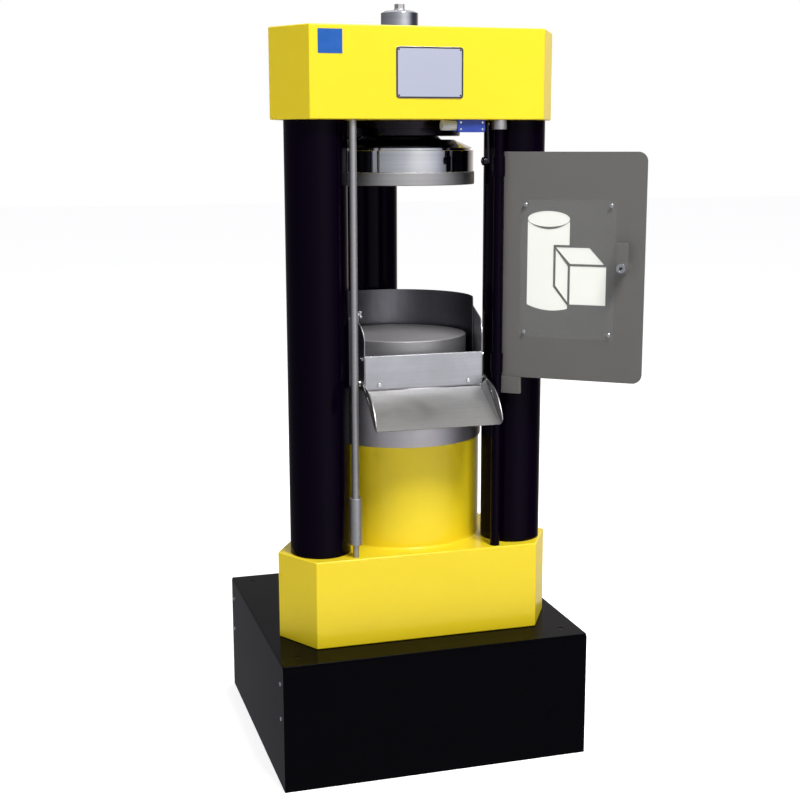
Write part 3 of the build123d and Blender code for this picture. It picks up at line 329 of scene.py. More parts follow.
def bump(tree, shader, height, strength, distance):
    """Feeds a height to the shader's normal."""
    made = node(
        tree, "ShaderNodeBump", {"Strength": strength, "Distance": distance}, {"Height": height}
    )
    tree.links.new(made.outputs[0], shader.inputs["Normal"])


def paint(name, colour, shade, roughness, spread, peel, peel_depth, dust=0.0, coat=0.0, shine=0.5):
    """Sprayed paint with peel, soft patches and a little dust on top."""
    tree, shader = blank_material(name)
    patches = effect(tree, "handling_marks", scale=2.6, seed=1.7)
    rubs = effect(tree, "handling_marks", scale=14.0, seed=6.1)
    settled = effect(tree, "settled_dust", amount=dust)
    tone = blend_colours(tree, maths(tree, "MULTIPLY", patches.outputs[0], 0.45), colour, shade)
    tone = blend_colours(tree, settled.outputs[0], tone, DUST)
    tree.links.new(tone, shader.inputs["Base Color"])
    rough = remap(tree, rubs.outputs[0], 0.0, 1.0, roughness - spread / 2, roughness + spread)
    rough = maths(tree, "ADD", rough, maths(tree, "MULTIPLY", settled.outputs[0], 0.5), clamp=True)
    tree.links.new(rough, shader.inputs["Roughness"])
    shader.inputs["Specular IOR Level"].default_value = shine
    shader.inputs["Coat Weight"].default_value = coat
    shader.inputs["Coat Roughness"].default_value = 0.1
    bump(tree, shader, effect(tree, "paint_peel", scale=peel).outputs[0], 0.5, peel_depth)


def turned_metal(name, colour, roughness, spread, pitch, depth, dark=0.75):
    """Metal finished on a lathe or grinder, with rings about an upright axis."""
    tree, shader = blank_material(name)
    rings = effect(tree, "turning_marks", pitch=pitch)
    marks = effect(tree, "handling_marks", scale=9.0, seed=3.3)
    deep = tuple(c * dark for c in colour)
    mix = weighed(tree, rings.outputs["Tone"], 0.5, marks.outputs[0], 0.35)
    tree.links.new(blend_colours(tree, mix, colour, deep), shader.inputs["Base Color"])
    worn = weighed(tree, rings.outputs["Tone"], 0.4, marks.outputs[0], 0.6)
    tree.links.new(remap(tree, worn, 0.0, 1.0, roughness, roughness + spread), shader.inputs["Roughness"])
    shader.inputs["Metallic"].default_value = 1.0
    bump(tree, shader, rings.outputs["Height"], 0.35, depth)


def brushed_metal(name, colour, roughness, spread, along, depth, dark=0.8, smudge=0.5):
    """Bare sheet with a grain in one direction and the smudges of handling."""
    tree, shader = blank_material(name)
    grain = effect(tree, "brushed_grain", along=along)
    marks = effect(tree, "handling_marks", scale=11.0, seed=8.4)
    deep = tuple(c * dark for c in colour)
    mix = weighed(tree, grain.outputs["Tone"], 0.45, marks.outputs[0], smudge)
    tree.links.new(blend_colours(tree, mix, colour, deep), shader.inputs["Base Color"])
    worn = weighed(tree, grain.outputs["Tone"], 0.3, marks.outputs[0], 0.7)
    tree.links.new(remap(tree, worn, 0.0, 1.0, roughness, roughness + spread), shader.inputs["Roughness"])
    shader.inputs["Metallic"].default_value = 1.0
    bump(tree, shader, grain.outputs["Height"], 0.4, depth)


def moulded(name, colour, roughness, grain=1800.0, depth=0.00004):
    """Moulded plastic or rubber with a fine texture."""
    tree, shader = blank_material(name)
    marks = effect(tree, "handling_marks", scale=40.0, seed=2.2)
    pale = tuple(min(1.0, c * 1.25 + 0.004) for c in colour)
    tree.links.new(blend_colours(tree, marks.outputs[0], colour, pale), shader.inputs["Base Color"])
    rough = remap(tree, marks.outputs[0], 0.0, 1.0, roughness, roughness + 0.12)
    tree.links.new(rough, shader.inputs["Roughness"])
    bump(tree, shader, effect(tree, "paint_peel", scale=grain).outputs[0], 0.4, depth)


def clear_sheet(name, colour):
    """Clear pane that lets light through and shows a little more where it is seen edge on."""
    tree, shader = blank_material(name)
    marks = effect(tree, "handling_marks", scale=7.0, seed=5.0)
    shader.inputs["Base Color"].default_value = (*colour, 1.0)
    tree.links.new(remap(tree, marks.outputs[0], 0.0, 1.0, 0.02, 0.1), shader.inputs["Roughness"])
    rim = node(tree, "ShaderNodeLayerWeight", {"Blend": 0.3}).outputs["Facing"]
    shader.inputs["Specular IOR Level"].default_value = 0.15
    rays = tree.nodes.new("ShaderNodeLightPath")
    lets_pass = maths(tree, "SUBTRACT", 1.0, rays.outputs["Is Shadow Ray"])
    seen = maths(tree, "MULTIPLY", remap(tree, rim, 0.6, 1.0, 0.015, 0.3), lets_pass)
    tree.links.new(seen, shader.inputs["Alpha"])


def pale_film_with_painted_glow(name, colour, shade):
    """Pale film with a painted glow: a weak emission stands in for light coming through it."""
    tree, shader = blank_material(name)
    marks = effect(tree, "handling_marks", scale=5.0, seed=7.7)
    tone = blend_colours(tree, marks.outputs[0], colour, shade)
    tree.links.new(tone, shader.inputs["Base Color"])
    tree.links.new(tone, shader.inputs["Emission Color"])
    # painted glow: the film emits its own colour, as if lit from behind
    shader.inputs["Emission Strength"].default_value = 0.16
    shader.inputs["Roughness"].default_value = 0.6


# Linear colours that follow the photographed object and aren't settings
DUST = (0.42, 0.4, 0.37)
COLLAR = (0.66, 0.63, 0.65)
CHUTE = (0.37, 0.37, 0.375)
GUARD = (0.2, 0.2, 0.22)
BLACKENED = (0.03, 0.026, 0.034)
RAW = (0.3, 0.3, 0.31)
BRONZE = (0.5, 0.3, 0.12)
PANE = (0.72, 0.78, 0.86)
FILM = (0.82, 0.83, 0.775)
FILM_SHADE = (0.8, 0.81, 0.76)
RUBBER = (0.012, 0.012, 0.012)
BLUE_CASE = (0.018, 0.045, 0.3)
GREY_GLAND = (0.45, 0.45, 0.44)
KNOB = (0.01, 0.01, 0.01)
PLATE_LINE = (0.02, 0.02, 0.024)

# Waves per metre of brushed grain along each axis
GRAIN_ACROSS = (14.0, 1100.0, 1100.0)
GRAIN_UPRIGHT = (700.0, 700.0, 14.0)
GRAIN_PLATE = (30.0, 1500.0, 1500.0)


def make_materials(finish):
    """Builds the shared effects and every material; peel and pitch are per metre, depths in metres."""
    EFFECTS["paint_peel"] = make_peel_group()
    EFFECTS["handling_marks"] = make_smudge_group()
    EFFECTS["brushed_grain"] = make_grain_group()
    EFFECTS["turning_marks"] = make_turning_group()
    EFFECTS["settled_dust"] = make_dust_group()
    paint(
        "yellow_enamel", tuple(finish.enamel), tuple(finish.enamel_shade), finish.enamel_roughness,
        spread=0.02, peel=420.0, peel_depth=0.00005, dust=0.05, coat=0.25, shine=0.3,
    )
    paint(
        "plinth_black", tuple(finish.plinth), tuple(finish.plinth), roughness=0.17, spread=0.02,
        peel=1100.0, peel_depth=0.00004, shine=0.03,
    )
    paint(
        "column_black", tuple(finish.column), tuple(finish.column), roughness=0.13, spread=0.03,
        peel=160.0, peel_depth=0.00003, shine=0.06,
    )
    paint(
        "door_grey", tuple(finish.door), tuple(c * 0.86 for c in finish.door), roughness=0.5, spread=0.1,
        peel=900.0, peel_depth=0.00004, dust=0.06,
    )
    turned_metal(
        "polished_steel", tuple(finish.polish), roughness=0.045, spread=0.07, pitch=900.0, depth=0.000004
    )
    turned_metal(
        "ground_steel", tuple(finish.steel), roughness=0.46, spread=0.14, pitch=1500.0, depth=0.00001
    )
    turned_metal(
        "collar_steel", COLLAR, roughness=0.42, spread=0.12, pitch=700.0, depth=0.00001, dark=0.85
    )
    brushed_metal(
        "stainless", tuple(finish.stainless), roughness=0.3, spread=0.2, along=GRAIN_ACROSS, depth=0.00002
    )
    brushed_metal(
        "chute_steel", CHUTE, roughness=0.3, spread=0.16, along=GRAIN_ACROSS, depth=0.00001, dark=0.72,
        smudge=0.6,
    )
    brushed_metal("guard_steel", GUARD, roughness=0.3, spread=0.2, along=GRAIN_UPRIGHT, depth=0.00003)
    turned_metal("dark_steel", BLACKENED, roughness=0.2, spread=0.15, pitch=900.0, depth=0.00002)
    turned_metal("raw_steel", RAW, roughness=0.28, spread=0.2, pitch=900.0, depth=0.00002)
    turned_metal("bronze", BRONZE, roughness=0.3, spread=0.15, pitch=900.0, depth=0.00002)
    clear_sheet("clear_pane", PANE)
    pale_film_with_painted_glow("pictogram_film", FILM, FILM_SHADE)
    moulded("seal_rubber", RUBBER, roughness=0.7)
    moulded("switch_blue", BLUE_CASE, roughness=0.32, grain=900.0, depth=0.00003)
    moulded("switch_grey", GREY_GLAND, roughness=0.4)
    moulded("knob_black", KNOB, roughness=0.38)
    moulded("label_blue", tuple(finish.label), roughness=0.3, grain=300.0, depth=0.00002)
    brushed_metal(
        "plate_silver", tuple(finish.plate), roughness=0.3, spread=0.12, along=GRAIN_PLATE, depth=0.00001,
        dark=0.92, smudge=0.3,
    )
    moulded("plate_rim", PLATE_LINE, roughness=0.35, grain=600.0, depth=0.00002)


# Mesh helpers


def put(mesh_source, name, sharp=32.0, weighted=True):
    """Turns a bmesh into a smooth-shaded object with crisp edges."""
    mesh = bpy.data.meshes.new(name)
    mesh_source.normal_update()
    mesh_source.to_mesh(mesh)
    mesh_source.free()
    mesh.polygons.foreach_set("use_smooth", [True] * len(mesh.polygons))
    mesh.set_sharp_from_angle(angle=math.radians(sharp))
    made = bpy.data.objects.new(name, mesh)
    bpy.context.scene.collection.objects.link(made)
    if weighted:
        modifier = made.modifiers.new("face_weights", "WEIGHTED_NORMAL")
        modifier.keep_sharp = True
        settle(made)
    return made


def settle(made):
    """Bakes an object's modifiers into a plain mesh."""
    bpy.context.view_layer.update()
    graph = bpy.context.evaluated_depsgraph_get()
    mesh = bpy.data.meshes.new_from_object(
        made.evaluated_get(graph), preserve_all_data_layers=True, depsgraph=graph
    )
    made.modifiers.clear()
    made.data = mesh
    return made


def dress(made, material, body, stands_for=()):
    """Gives a piece its material, its body and the nodes that it stands for."""
    if material is not None:
        made.data.materials.clear()
        made.data.materials.append(MATERIALS[material])
    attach(made, body)
    if stands_for:
        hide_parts(*stands_for)
    return made


def rounded(points, radius, steps=3):
    """Rounds the corners of a closed outline of (radius, height) points, but not those on the axis."""
    out = []
    count = len(points)
    for i, here in enumerate(points):
        before, after = Vector(points[i - 1]), Vector(points[(i + 1) % count])
        here = Vector(here)
        a, b = before - here, after - here
        if here.x < 1e-6 or a.length < 1e-6 or b.length < 1e-6:
            out.append(tuple(here))
            continue
        turn = a.angle(b)
        if turn > math.radians(165):
            out.append(tuple(here))
            continue
        cut = min(radius / math.tan(turn / 2), 0.4 * a.length, 0.4 * b.length)
        start, end = here + a.normalized() * cut, here + b.normalized() * cut
        for k in range(steps + 1):
            t = k / steps
            point = start * (1 - t) ** 2 + here * 2 * t * (1 - t) + end * t ** 2
            out.append(tuple(point))
    return out


def lathe(name, outline, centre=(0.0, 0.0), steps=96, edge=0.8):
    """Turns a closed outline of (radius, height) points in millimetres about an upright axis."""
    points = rounded(outline, edge)
    bm = bmesh.new()
    rings = []
    for radius, height in points:
        if radius < 1e-6:
            rings.append([bm.verts.new((centre[0] * MM, centre[1] * MM, height * MM))])
            continue
        ring = []
        for k in range(steps):
            angle = 2 * math.pi * k / steps
            ring.append(bm.verts.new((
                (centre[0] + radius * math.cos(angle)) * MM,
                (centre[1] + radius * math.sin(angle)) * MM,
                height * MM,
            )))
        rings.append(ring)
    for a, b in zip(rings, rings[1:] + rings[:1]):
        if len(a) == 1 and len(b) == 1:
            continue
        for k in range(steps):
            n = (k + 1) % steps
            if len(a) == 1:
                bm.faces.new((a[0], b[k], b[n]))
            elif len(b) == 1:
                bm.faces.new((a[k], b[0], a[n]))
            else:
                bm.faces.new((a[k], b[k], b[n], a[n]))
    bmesh.ops.recalc_face_normals(bm, faces=bm.faces)
    return put(bm, name)


def skin(cad_node, edge=0.0, sharp=32.0, limit=35.0):
    """A merged copy of a machined or folded piece, with its sharp edges eased by edge metres."""
    bm = bmesh.new()
    bm.from_mesh(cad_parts[cad_node].data)
    bmesh.ops.remove_doubles(bm, verts=bm.verts, dist=1e-6)
    bmesh.ops.dissolve_limit(
        bm, angle_limit=math.radians(0.4), verts=bm.verts, edges=bm.edges, delimit={"NORMAL"}
    )
    made = put(bm, cad_node + "_skin", sharp=sharp, weighted=False)
    if edge > 0:
        bevel = made.modifiers.new("eased_edges", "BEVEL")
        bevel.width = edge
        bevel.segments = 2
        bevel.limit_method = "ANGLE"
        bevel.angle_limit = math.radians(limit)
        bevel.harden_normals = True
    weights = made.modifiers.new("face_weights", "WEIGHTED_NORMAL")
    weights.keep_sharp = True
    return settle(made)


def clad(cad_node, material, body="frame", slot=None, **shape):
    """Dresses a CAD node in an eased copy of itself."""
    return dress(skin(cad_node, **shape), material, body, [cad_node])


def turned(cad_node, outline, material, body="frame", slot=None, **shape):
    """Dresses a CAD node in a turned piece."""
    return dress(lathe(cad_node + "_turned", outline, **shape), material, body, [cad_node])


def tube(inner, outer, low, high):
    """Outline of a plain ring, or of a bar where inner is 0."""
    return [(inner, low), (outer, low), (outer, high), (inner, high)]


def disc(radius, low, high, chamfer):
    """Outline of a disc with both rims chamfered."""
    return [
        (0, low), (radius - chamfer, low), (radius, low + chamfer), (radius, high - chamfer),
        (radius - chamfer, high), (0, high),
    ]


# Repeated small pieces


def make_fastener_tree():
    """Places one head on every point of a mesh, turned to that point's facing."""
    tree, start, end = new_tree(
        "fastener_rows", "GeometryNodeTree",
        [
            ("Points", "NodeSocketGeometry", None),
            ("Head", "NodeSocketObject", None),
            ("Head size", "NodeSocketFloat", 1.0),
            ("Finish", "NodeSocketMaterial", None),
            ("Turn seed", "NodeSocketInt", 4),
        ],
        [("Fasteners", "NodeSocketGeometry")],
    )
    facing = tree.nodes.new("GeometryNodeInputNamedAttribute")
    facing.data_type = "FLOAT_VECTOR"
    facing.inputs["Name"].default_value = "facing"
    turn = tree.nodes.new("FunctionNodeAlignRotationToVector")
    turn.axis = "Z"
    tree.links.new(next(s for s in facing.outputs if s.enabled), turn.inputs["Vector"])
    spin = tree.nodes.new("FunctionNodeRandomValue")
    spin.data_type = "FLOAT"
    low, high = [s for s in spin.inputs if s.enabled and s.name in ("Min", "Max")]
    low.default_value = 0.0
    high.default_value = math.radians(60)
    tree.links.new(start.outputs["Turn seed"], spin.inputs["Seed"])
    angles = tree.nodes.new("ShaderNodeCombineXYZ")
    tree.links.new(next(s for s in spin.outputs if s.enabled), angles.inputs["Z"])
    local = tree.nodes.new("FunctionNodeEulerToRotation")
    tree.links.new(angles.outputs[0], local.inputs[0])
    both = tree.nodes.new("FunctionNodeRotateRotation")
    both.rotation_space = "LOCAL"
    tree.links.new(turn.outputs[0], both.inputs[0])
    tree.links.new(local.outputs[0], both.inputs[1])
    head = tree.nodes.new("GeometryNodeObjectInfo")
    head.inputs["As Instance"].default_value = True
    tree.links.new(start.outputs["Head"], head.inputs["Object"])
    points = tree.nodes.new("GeometryNodeMeshToPoints")
    tree.links.new(start.outputs["Points"], points.inputs["Mesh"])
    place = tree.nodes.new("GeometryNodeInstanceOnPoints")
    tree.links.new(points.outputs[0], place.inputs["Points"])
    tree.links.new(head.outputs["Geometry"], place.inputs["Instance"])
    tree.links.new(both.outputs[0], place.inputs["Rotation"])
    tree.links.new(start.outputs["Head size"], place.inputs["Scale"])
    real = tree.nodes.new("GeometryNodeRealizeInstances")
    tree.links.new(place.outputs[0], real.inputs[0])
    finish = tree.nodes.new("GeometryNodeSetMaterial")
    tree.links.new(real.outputs[0], finish.inputs["Geometry"])
    tree.links.new(start.outputs["Finish"], finish.inputs["Material"])
    tree.links.new(finish.outputs[0], end.inputs["Fasteners"])
    return tree


TREES = {}
HEAD_SUNK = 0.4
DOME_STEPS = 4


def drive(made, tree, values):
    """Runs a node tree on an object with the named inputs and keeps the result as a plain mesh."""
    modifier = made.modifiers.new(tree.name, "NODES")
    modifier.node_group = tree
    for item in tree.interface.items_tree:
        if item.item_type == "SOCKET" and item.in_out == "INPUT" and item.name in values:
            modifier[item.identifier] = values[item.name]
    return settle(made)


def head_shape(name, radius, height, socket=0.0, depth=0.1, dome=0.35, sides=40):
    """A head about +Z in millimetres; socket is its recess's corner radius, or 0 for a round dimple."""
    bm = bmesh.new()
    levels = [(radius * 0.96, -HEAD_SUNK), (radius, 0.0), (radius, height * (1 - dome))]
    for k in range(1, DOME_STEPS + 1):
        t = k / DOME_STEPS * math.pi / 2
        levels.append((radius * (1 - 0.3 * (1 - math.cos(t))), height * (1 - dome + dome * math.sin(t))))
    angles = [2 * math.pi * k / sides for k in range(sides)]
    rings = []
    for r, z in levels:
        rings.append([bm.verts.new((r * MM * math.cos(t), r * MM * math.sin(t), z * MM)) for t in angles])
    for a, b in zip(rings, rings[1:]):
        for k in range(sides):
            n = (k + 1) % sides
            bm.faces.new((a[k], a[n], b[n], b[k]))
    bm.faces.new(list(reversed(rings[0])))
    mouth, floor = [], []
    for angle in angles:
        wrapped = (angle + math.pi / 6) % (math.pi / 3) - math.pi / 6
        r = socket * math.cos(math.pi / 6) / math.cos(wrapped) if socket else radius * 0.3
        x, y = r * MM * math.cos(angle), r * MM * math.sin(angle)
        mouth.append(bm.verts.new((x, y, height * MM)))
        floor.append(bm.verts.new((x, y, (height - depth) * MM)))
    for k in range(sides):
        n = (k + 1) % sides
        bm.faces.new((rings[-1][k], rings[-1][n], mouth[n], mouth[k]))
        bm.faces.new((mouth[k], mouth[n], floor[n], floor[k]))
    bm.faces.new(floor)
    return put(bm, name, sharp=28.0, weighted=False)


def fasteners(name, places, head, material, body, stands_for=(), size=1.0, seed=4):
    """Heads at (point in millimetres, outward direction), made by the fastener tree; uses up the head."""
    mesh = bpy.data.meshes.new(name)
    mesh.from_pydata([tuple(c * MM for c in point) for point, _ in places], [], [])
    attribute = mesh.attributes.new("facing", "FLOAT_VECTOR", "POINT")
    attribute.data.foreach_set("vector", [c for _, way in places for c in way])
    made = bpy.data.objects.new(name, mesh)
    bpy.context.scene.collection.objects.link(made)
    drive(made, TREES["fastener_rows"], {
        "Head": head, "Head size": size, "Finish": MATERIALS[material], "Turn seed": seed,
    })
    bpy.data.objects.remove(head)
    return dress(made, None, body, stands_for)


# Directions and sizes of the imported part, in millimetres
FRONT = (0.0, -1.0, 0.0)
UP = (0.0, 0.0, 1.0)

BEAM_TOP = 499.0
CROSSHEAD_LOW = 1470.0
CROSSHEAD_TOP = 1665.0
CROSSHEAD_FACE = 226.3

SIDE_FACE = 361.0
SIDE_SCREW_Y = (-278.0, 320.0)
SIDE_SCREW_Z = (163.0, 245.0)
LID_FACE = 292.9
LID_SCREW_X = (-316.0, 316.0)
LID_SCREW_Y = (-258.0, 300.0)

COLUMN_RADIUS = 69.25
COLUMN_HOLE = 36.0
COLUMN_CIRCLE = 267.5

CYLINDER_RADIUS = 187.5
CYLINDER_TOP = 873.0
BORE_RADIUS = 141.0
BORE_FLOOR = 554.0
WELD_SIZE = 6.0
WELD_STEPS = 6

RAM_RADIUS = 140.0
RAM_FOOT = 560.0
RAM_TOP = 925.0
RAM_CHAMFER = 4.0
SPIGOT_RADIUS = 24.0
SPIGOT_FOOT = 913.0
SPIGOT_HOLE = 24.3
SPIGOT_HOLE_FLOOR = 911.0

PLATEN_CHAMFER = 1.2
LOWER_PLATEN_RADIUS = 155.7
LOWER_PLATEN_TOP = 977.5
UPPER_PLATEN_RADIUS = 173.0
UPPER_PLATEN_LOW = 1327.0
UPPER_PLATEN_TOP = 1356.0
PLATEN_BLOCK_RADIUS = 170.5
GROOVE_RADIUS = 164.0
GROOVE_LOW = 1404.0
GROOVE_HIGH = 1409.0
CONE_FOOT_RADIUS = 168.5
CONE_TOP_RADIUS = 125.0
CONE_TOP = 1428.0

CAP_RADIUS = 42.6
CAP_BORE = 29.0
CAP_HOLE = 9.3
CAP_ROOM = CROSSHEAD_TOP + 36.0
CAP_TOP = CROSSHEAD_TOP + 50.0
CAP_SLOPE_RADIUS = 33.6
CAP_SLOPE_LOW = CROSSHEAD_TOP + 45.5

COLLAR_INNER = 189.0
COLLAR_OUTER = 191.5
COLLAR_HOLE = 141.6
COLLAR_LOW = 739.0
COLLAR_TOP = 876.0

POST_X = 167.0
POST_Y = 208.0
POST_FOOT = 475.0
POST_HEAD = 1494.0
STRIKE_RADIUS = 8.0
STRIKE_NECK = 6.6
SLEEVE_HOLE = 6.9
SLEEVE_RADIUS = 14.0
SLEEVE_LOW = 529.0
SLEEVE_TOP = 637.0
HINGE_RADIUS = 11.0
BUSH_HOLE = 11.3
BUSH_RADIUS = 16.5
BUSH_LOW = 1449.0

DOOR_ANGLE = math.radians(38.0)
DOOR_INNER = 11.3
PANE_GAP = 0.2
PANE_FACE = 4.0
PANE_ALONG = 157.0
PANE_MIDDLE = 1144.0
PANE_SCREW_ALONG = 96.5
PANE_SCREW_RISE = 141.5
FILM_FACES = (-0.8, -1.2)
FILM_LEFT = 58.0
FILM_RIGHT = 250.0
FILM_LOW = 1046.0
FILM_HIGH = 1280.0
KNOB_STEEL_FROM = 4.0
KNOB_END = 0.2
SOCKET_SUNK = 0.28

LEVER_PIVOT = (142.0, -200.0, 1459.5)
COVER_SCREW_X = (75.0, 125.0)
COVER_SCREW_Z = (1449.5, 1464.0)
COVER_FACE = -215.0

PLATE_HALF_WIDTH = 75.5
PLATE_HALF_HEIGHT = 54.0
PLATE_MIDDLE = 1568.0
PLATE_FACE = -CROSSHEAD_FACE - 1.5
PLATE_CORNER = 7.0
RIVET_INSET = 6.5


def door_point(along, height, depth=0.0):
    """Point on the open door: along the leaf, up, and inwards from its inner face."""
    out = DOOR_INNER - depth
    x = POST_X + along * math.cos(DOOR_ANGLE) + out * math.sin(DOOR_ANGLE)
    y = -POST_Y - along * math.sin(DOOR_ANGLE) + out * math.cos(DOOR_ANGLE)
    return (x, y, height)


def door_inward():
    """Direction away from the leaf's inner face."""
    return Vector((-math.sin(DOOR_ANGLE), -math.cos(DOOR_ANGLE), 0.0))


def door_film(name):
    """Thin film set in the leaf's thickness behind its pictogram."""
    corners = (
        (FILM_LEFT, FILM_LOW), (FILM_RIGHT, FILM_LOW), (FILM_RIGHT, FILM_HIGH), (FILM_LEFT, FILM_HIGH),
    )
    bm = bmesh.new()
    near, far = [
        [bm.verts.new(tuple(c * MM for c in door_point(along, height, depth))) for along, height in corners]
        for depth in FILM_FACES
    ]
    bm.faces.new(near)
    bm.faces.new(list(reversed(far)))
    for k in range(4):
        n = (k + 1) % 4
        bm.faces.new((near[k], far[k], far[n], near[n]))
    bmesh.ops.recalc_face_normals(bm, faces=bm.faces)
    return put(bm, name, weighted=False)


def rounded_corners(half_width, half_height, radius, steps=6):
    """Points round a rectangle with rounded corners."""
    points = []
    for turn, (a, b) in enumerate(((1, 1), (-1, 1), (-1, -1), (1, -1))):
        for k in range(steps + 1):
            angle = (turn + k / steps) * math.pi / 2
            points.append((
                a * (half_width - radius) + radius * math.cos(angle),
                b * (half_height - radius) + radius * math.sin(angle),
            ))
    return points


def plate_border(name, inset, width, thick):
    """Raised dark line round the face of the blank data plate."""
    bm = bmesh.new()
    back, front = PLATE_FACE + 0.1, PLATE_FACE - thick
    loops = []
    for step, y in ((inset, back), (inset, front), (inset + width, front), (inset + width, back)):
        outline = rounded_corners(PLATE_HALF_WIDTH - step, PLATE_HALF_HEIGHT - step, PLATE_CORNER - step)
        loops.append([bm.verts.new((x * MM, y * MM, (PLATE_MIDDLE + z) * MM)) for x, z in outline])
    for a, b in zip(loops, loops[1:] + loops[:1]):
        for k in range(len(a)):
            n = (k + 1) % len(a)
            bm.faces.new((a[k], a[n], b[n], b[k]))
    bmesh.ops.recalc_face_normals(bm, faces=bm.faces)
    return put(bm, name, weighted=False)


class MACHINE_OT_materials(bpy.types.Operator):
    """Build the surface effects, the materials and the tree for screws"""

    bl_idname = "machine.materials"
    bl_label = "Materials"

    def execute(self, context):
        make_materials(context.scene.machine_finish)
        TREES["fastener_rows"] = make_fastener_tree()
        return {"FINISHED"}


class MACHINE_OT_plinth(bpy.types.Operator):
    """Dress the plinth sheets, its lid, its inner frame and its plug"""

    bl_idname = "machine.plinth"
    bl_label = "Plinth"

    def execute(self, context):
        for name in ("plinth_front", "plinth_left", "plinth_right", "plinth_rear"):
            clad(name, "plinth_black", edge=0.0006, limit=50)
        for name in ("plinth_lid", "base_plate", "base_frame"):
            clad(name, "plinth_black")
        clad("plinth_plug", "plinth_black", slot="knob_black")
        return {"FINISHED"}


class MACHINE_OT_plinth_screws(bpy.types.Operator):
    """Place the bright screws of the plinth's sides and the dark ones of its lid"""

    bl_idname = "machine.plinth_screws"
    bl_label = "Plinth screws"

    def execute(self, context):
        side = head_shape("side_screw_head", radius=5.0, height=2.4, socket=2.4, depth=1.6)
        places = [
            ((way * SIDE_FACE, y, z), (way, 0.0, 0.0))
            for way in (-1, 1) for y in SIDE_SCREW_Y for z in SIDE_SCREW_Z
        ]
        fasteners(
            "plinth_side_screws", places, side, "polished_steel", "frame", stands_for=["plinth_screws"],
            size=0.96,
        )
        lid = head_shape("lid_screw_head", radius=6.4, height=1.2, socket=3.2, depth=1.0, dome=0.2)
        places = [((x, y, LID_FACE), UP) for x in LID_SCREW_X for y in LID_SCREW_Y]
        fasteners("plinth_lid_screws", places, lid, "dark_steel", "frame", size=0.96, seed=9)
        return {"FINISHED"}


class MACHINE_OT_beams(bpy.types.Operator):
    """Dress the lower beam, the crosshead, the nuts and the tie rods"""

    bl_idname = "machine.beams"
    bl_label = "Beams"

    def execute(self, context):
        for name in ("lower_beam", "crosshead"):
            clad(name, "yellow_enamel", sharp=40)
        clad("column_nuts", "dark_steel", edge=0.0012)
        clad("tie_rods", "raw_steel")
        return {"FINISHED"}


class MACHINE_OT_columns(bpy.types.Operator):
    """Turn the three glossy columns"""

    bl_idname = "machine.columns"
    bl_label = "Columns"

    def execute(self, context):
        outline = tube(COLUMN_HOLE, COLUMN_RADIUS, BEAM_TOP, CROSSHEAD_LOW)
        steps = context.scene.machine_detail.round_steps
        for degrees, name in ((-150, "column_left"), (-30, "column_right"), (90, "column_rear")):
            angle = math.radians(degrees)
            centre = (COLUMN_CIRCLE * math.cos(angle), COLUMN_CIRCLE * math.sin(angle))
            turned(name, outline, "column_black", centre=centre, steps=steps, edge=0.7)
        return {"FINISHED"}


class MACHINE_OT_cylinder(bpy.types.Operator):
    """Turn the yellow cylinder with its weld, and dress its rings and its oil inlet"""

    bl_idname = "machine.cylinder"
    bl_label = "Cylinder"

    def execute(self, context):
        weld = []
        for k in range(WELD_STEPS + 1):
            angle = k / WELD_STEPS * math.pi / 2
            out, rise = WELD_SIZE * (1 - math.sin(angle)), WELD_SIZE * (1 - math.cos(angle))
            weld.append((CYLINDER_RADIUS + out, BEAM_TOP + rise))
        outline = [
            (0, BEAM_TOP), *weld, (CYLINDER_RADIUS, CYLINDER_TOP), (BORE_RADIUS, CYLINDER_TOP),
            (BORE_RADIUS, BORE_FLOOR), (0, BORE_FLOOR),
        ]
        steps = context.scene.machine_detail.round_steps
        turned("cylinder", outline, "yellow_enamel", steps=steps, edge=0.6)
        clad("guide_ring", "bronze")
        clad("ram_seal", "seal_rubber")
        clad("wiper_ring", "seal_rubber")
        clad("oil_inlet", "ground_steel", edge=0.0008)
        return {"FINISHED"}


class MACHINE_OT_ram(bpy.types.Operator):
    """Turn the ram and the lower platen"""

    bl_idname = "machine.ram"
    bl_label = "Ram"

    def execute(self, context):
        steps = context.scene.machine_detail.round_steps
        ram = [
            (0, RAM_FOOT), (RAM_RADIUS - RAM_CHAMFER, RAM_FOOT), (RAM_RADIUS, RAM_FOOT + RAM_CHAMFER),
            (RAM_RADIUS, RAM_TOP), (SPIGOT_HOLE, RAM_TOP), (SPIGOT_HOLE, SPIGOT_HOLE_FLOOR),
            (0, SPIGOT_HOLE_FLOOR),
        ]
        turned("ram", ram, "polished_steel", "ram", steps=steps)
        platen = disc(LOWER_PLATEN_RADIUS, RAM_TOP, LOWER_PLATEN_TOP, PLATEN_CHAMFER)
        platen[:1] = [(0, SPIGOT_FOOT), (SPIGOT_RADIUS, SPIGOT_FOOT), (SPIGOT_RADIUS, RAM_TOP)]
        turned("lower_platen", platen, "ground_steel", "ram", steps=steps, edge=0.5)
        return {"FINISHED"}


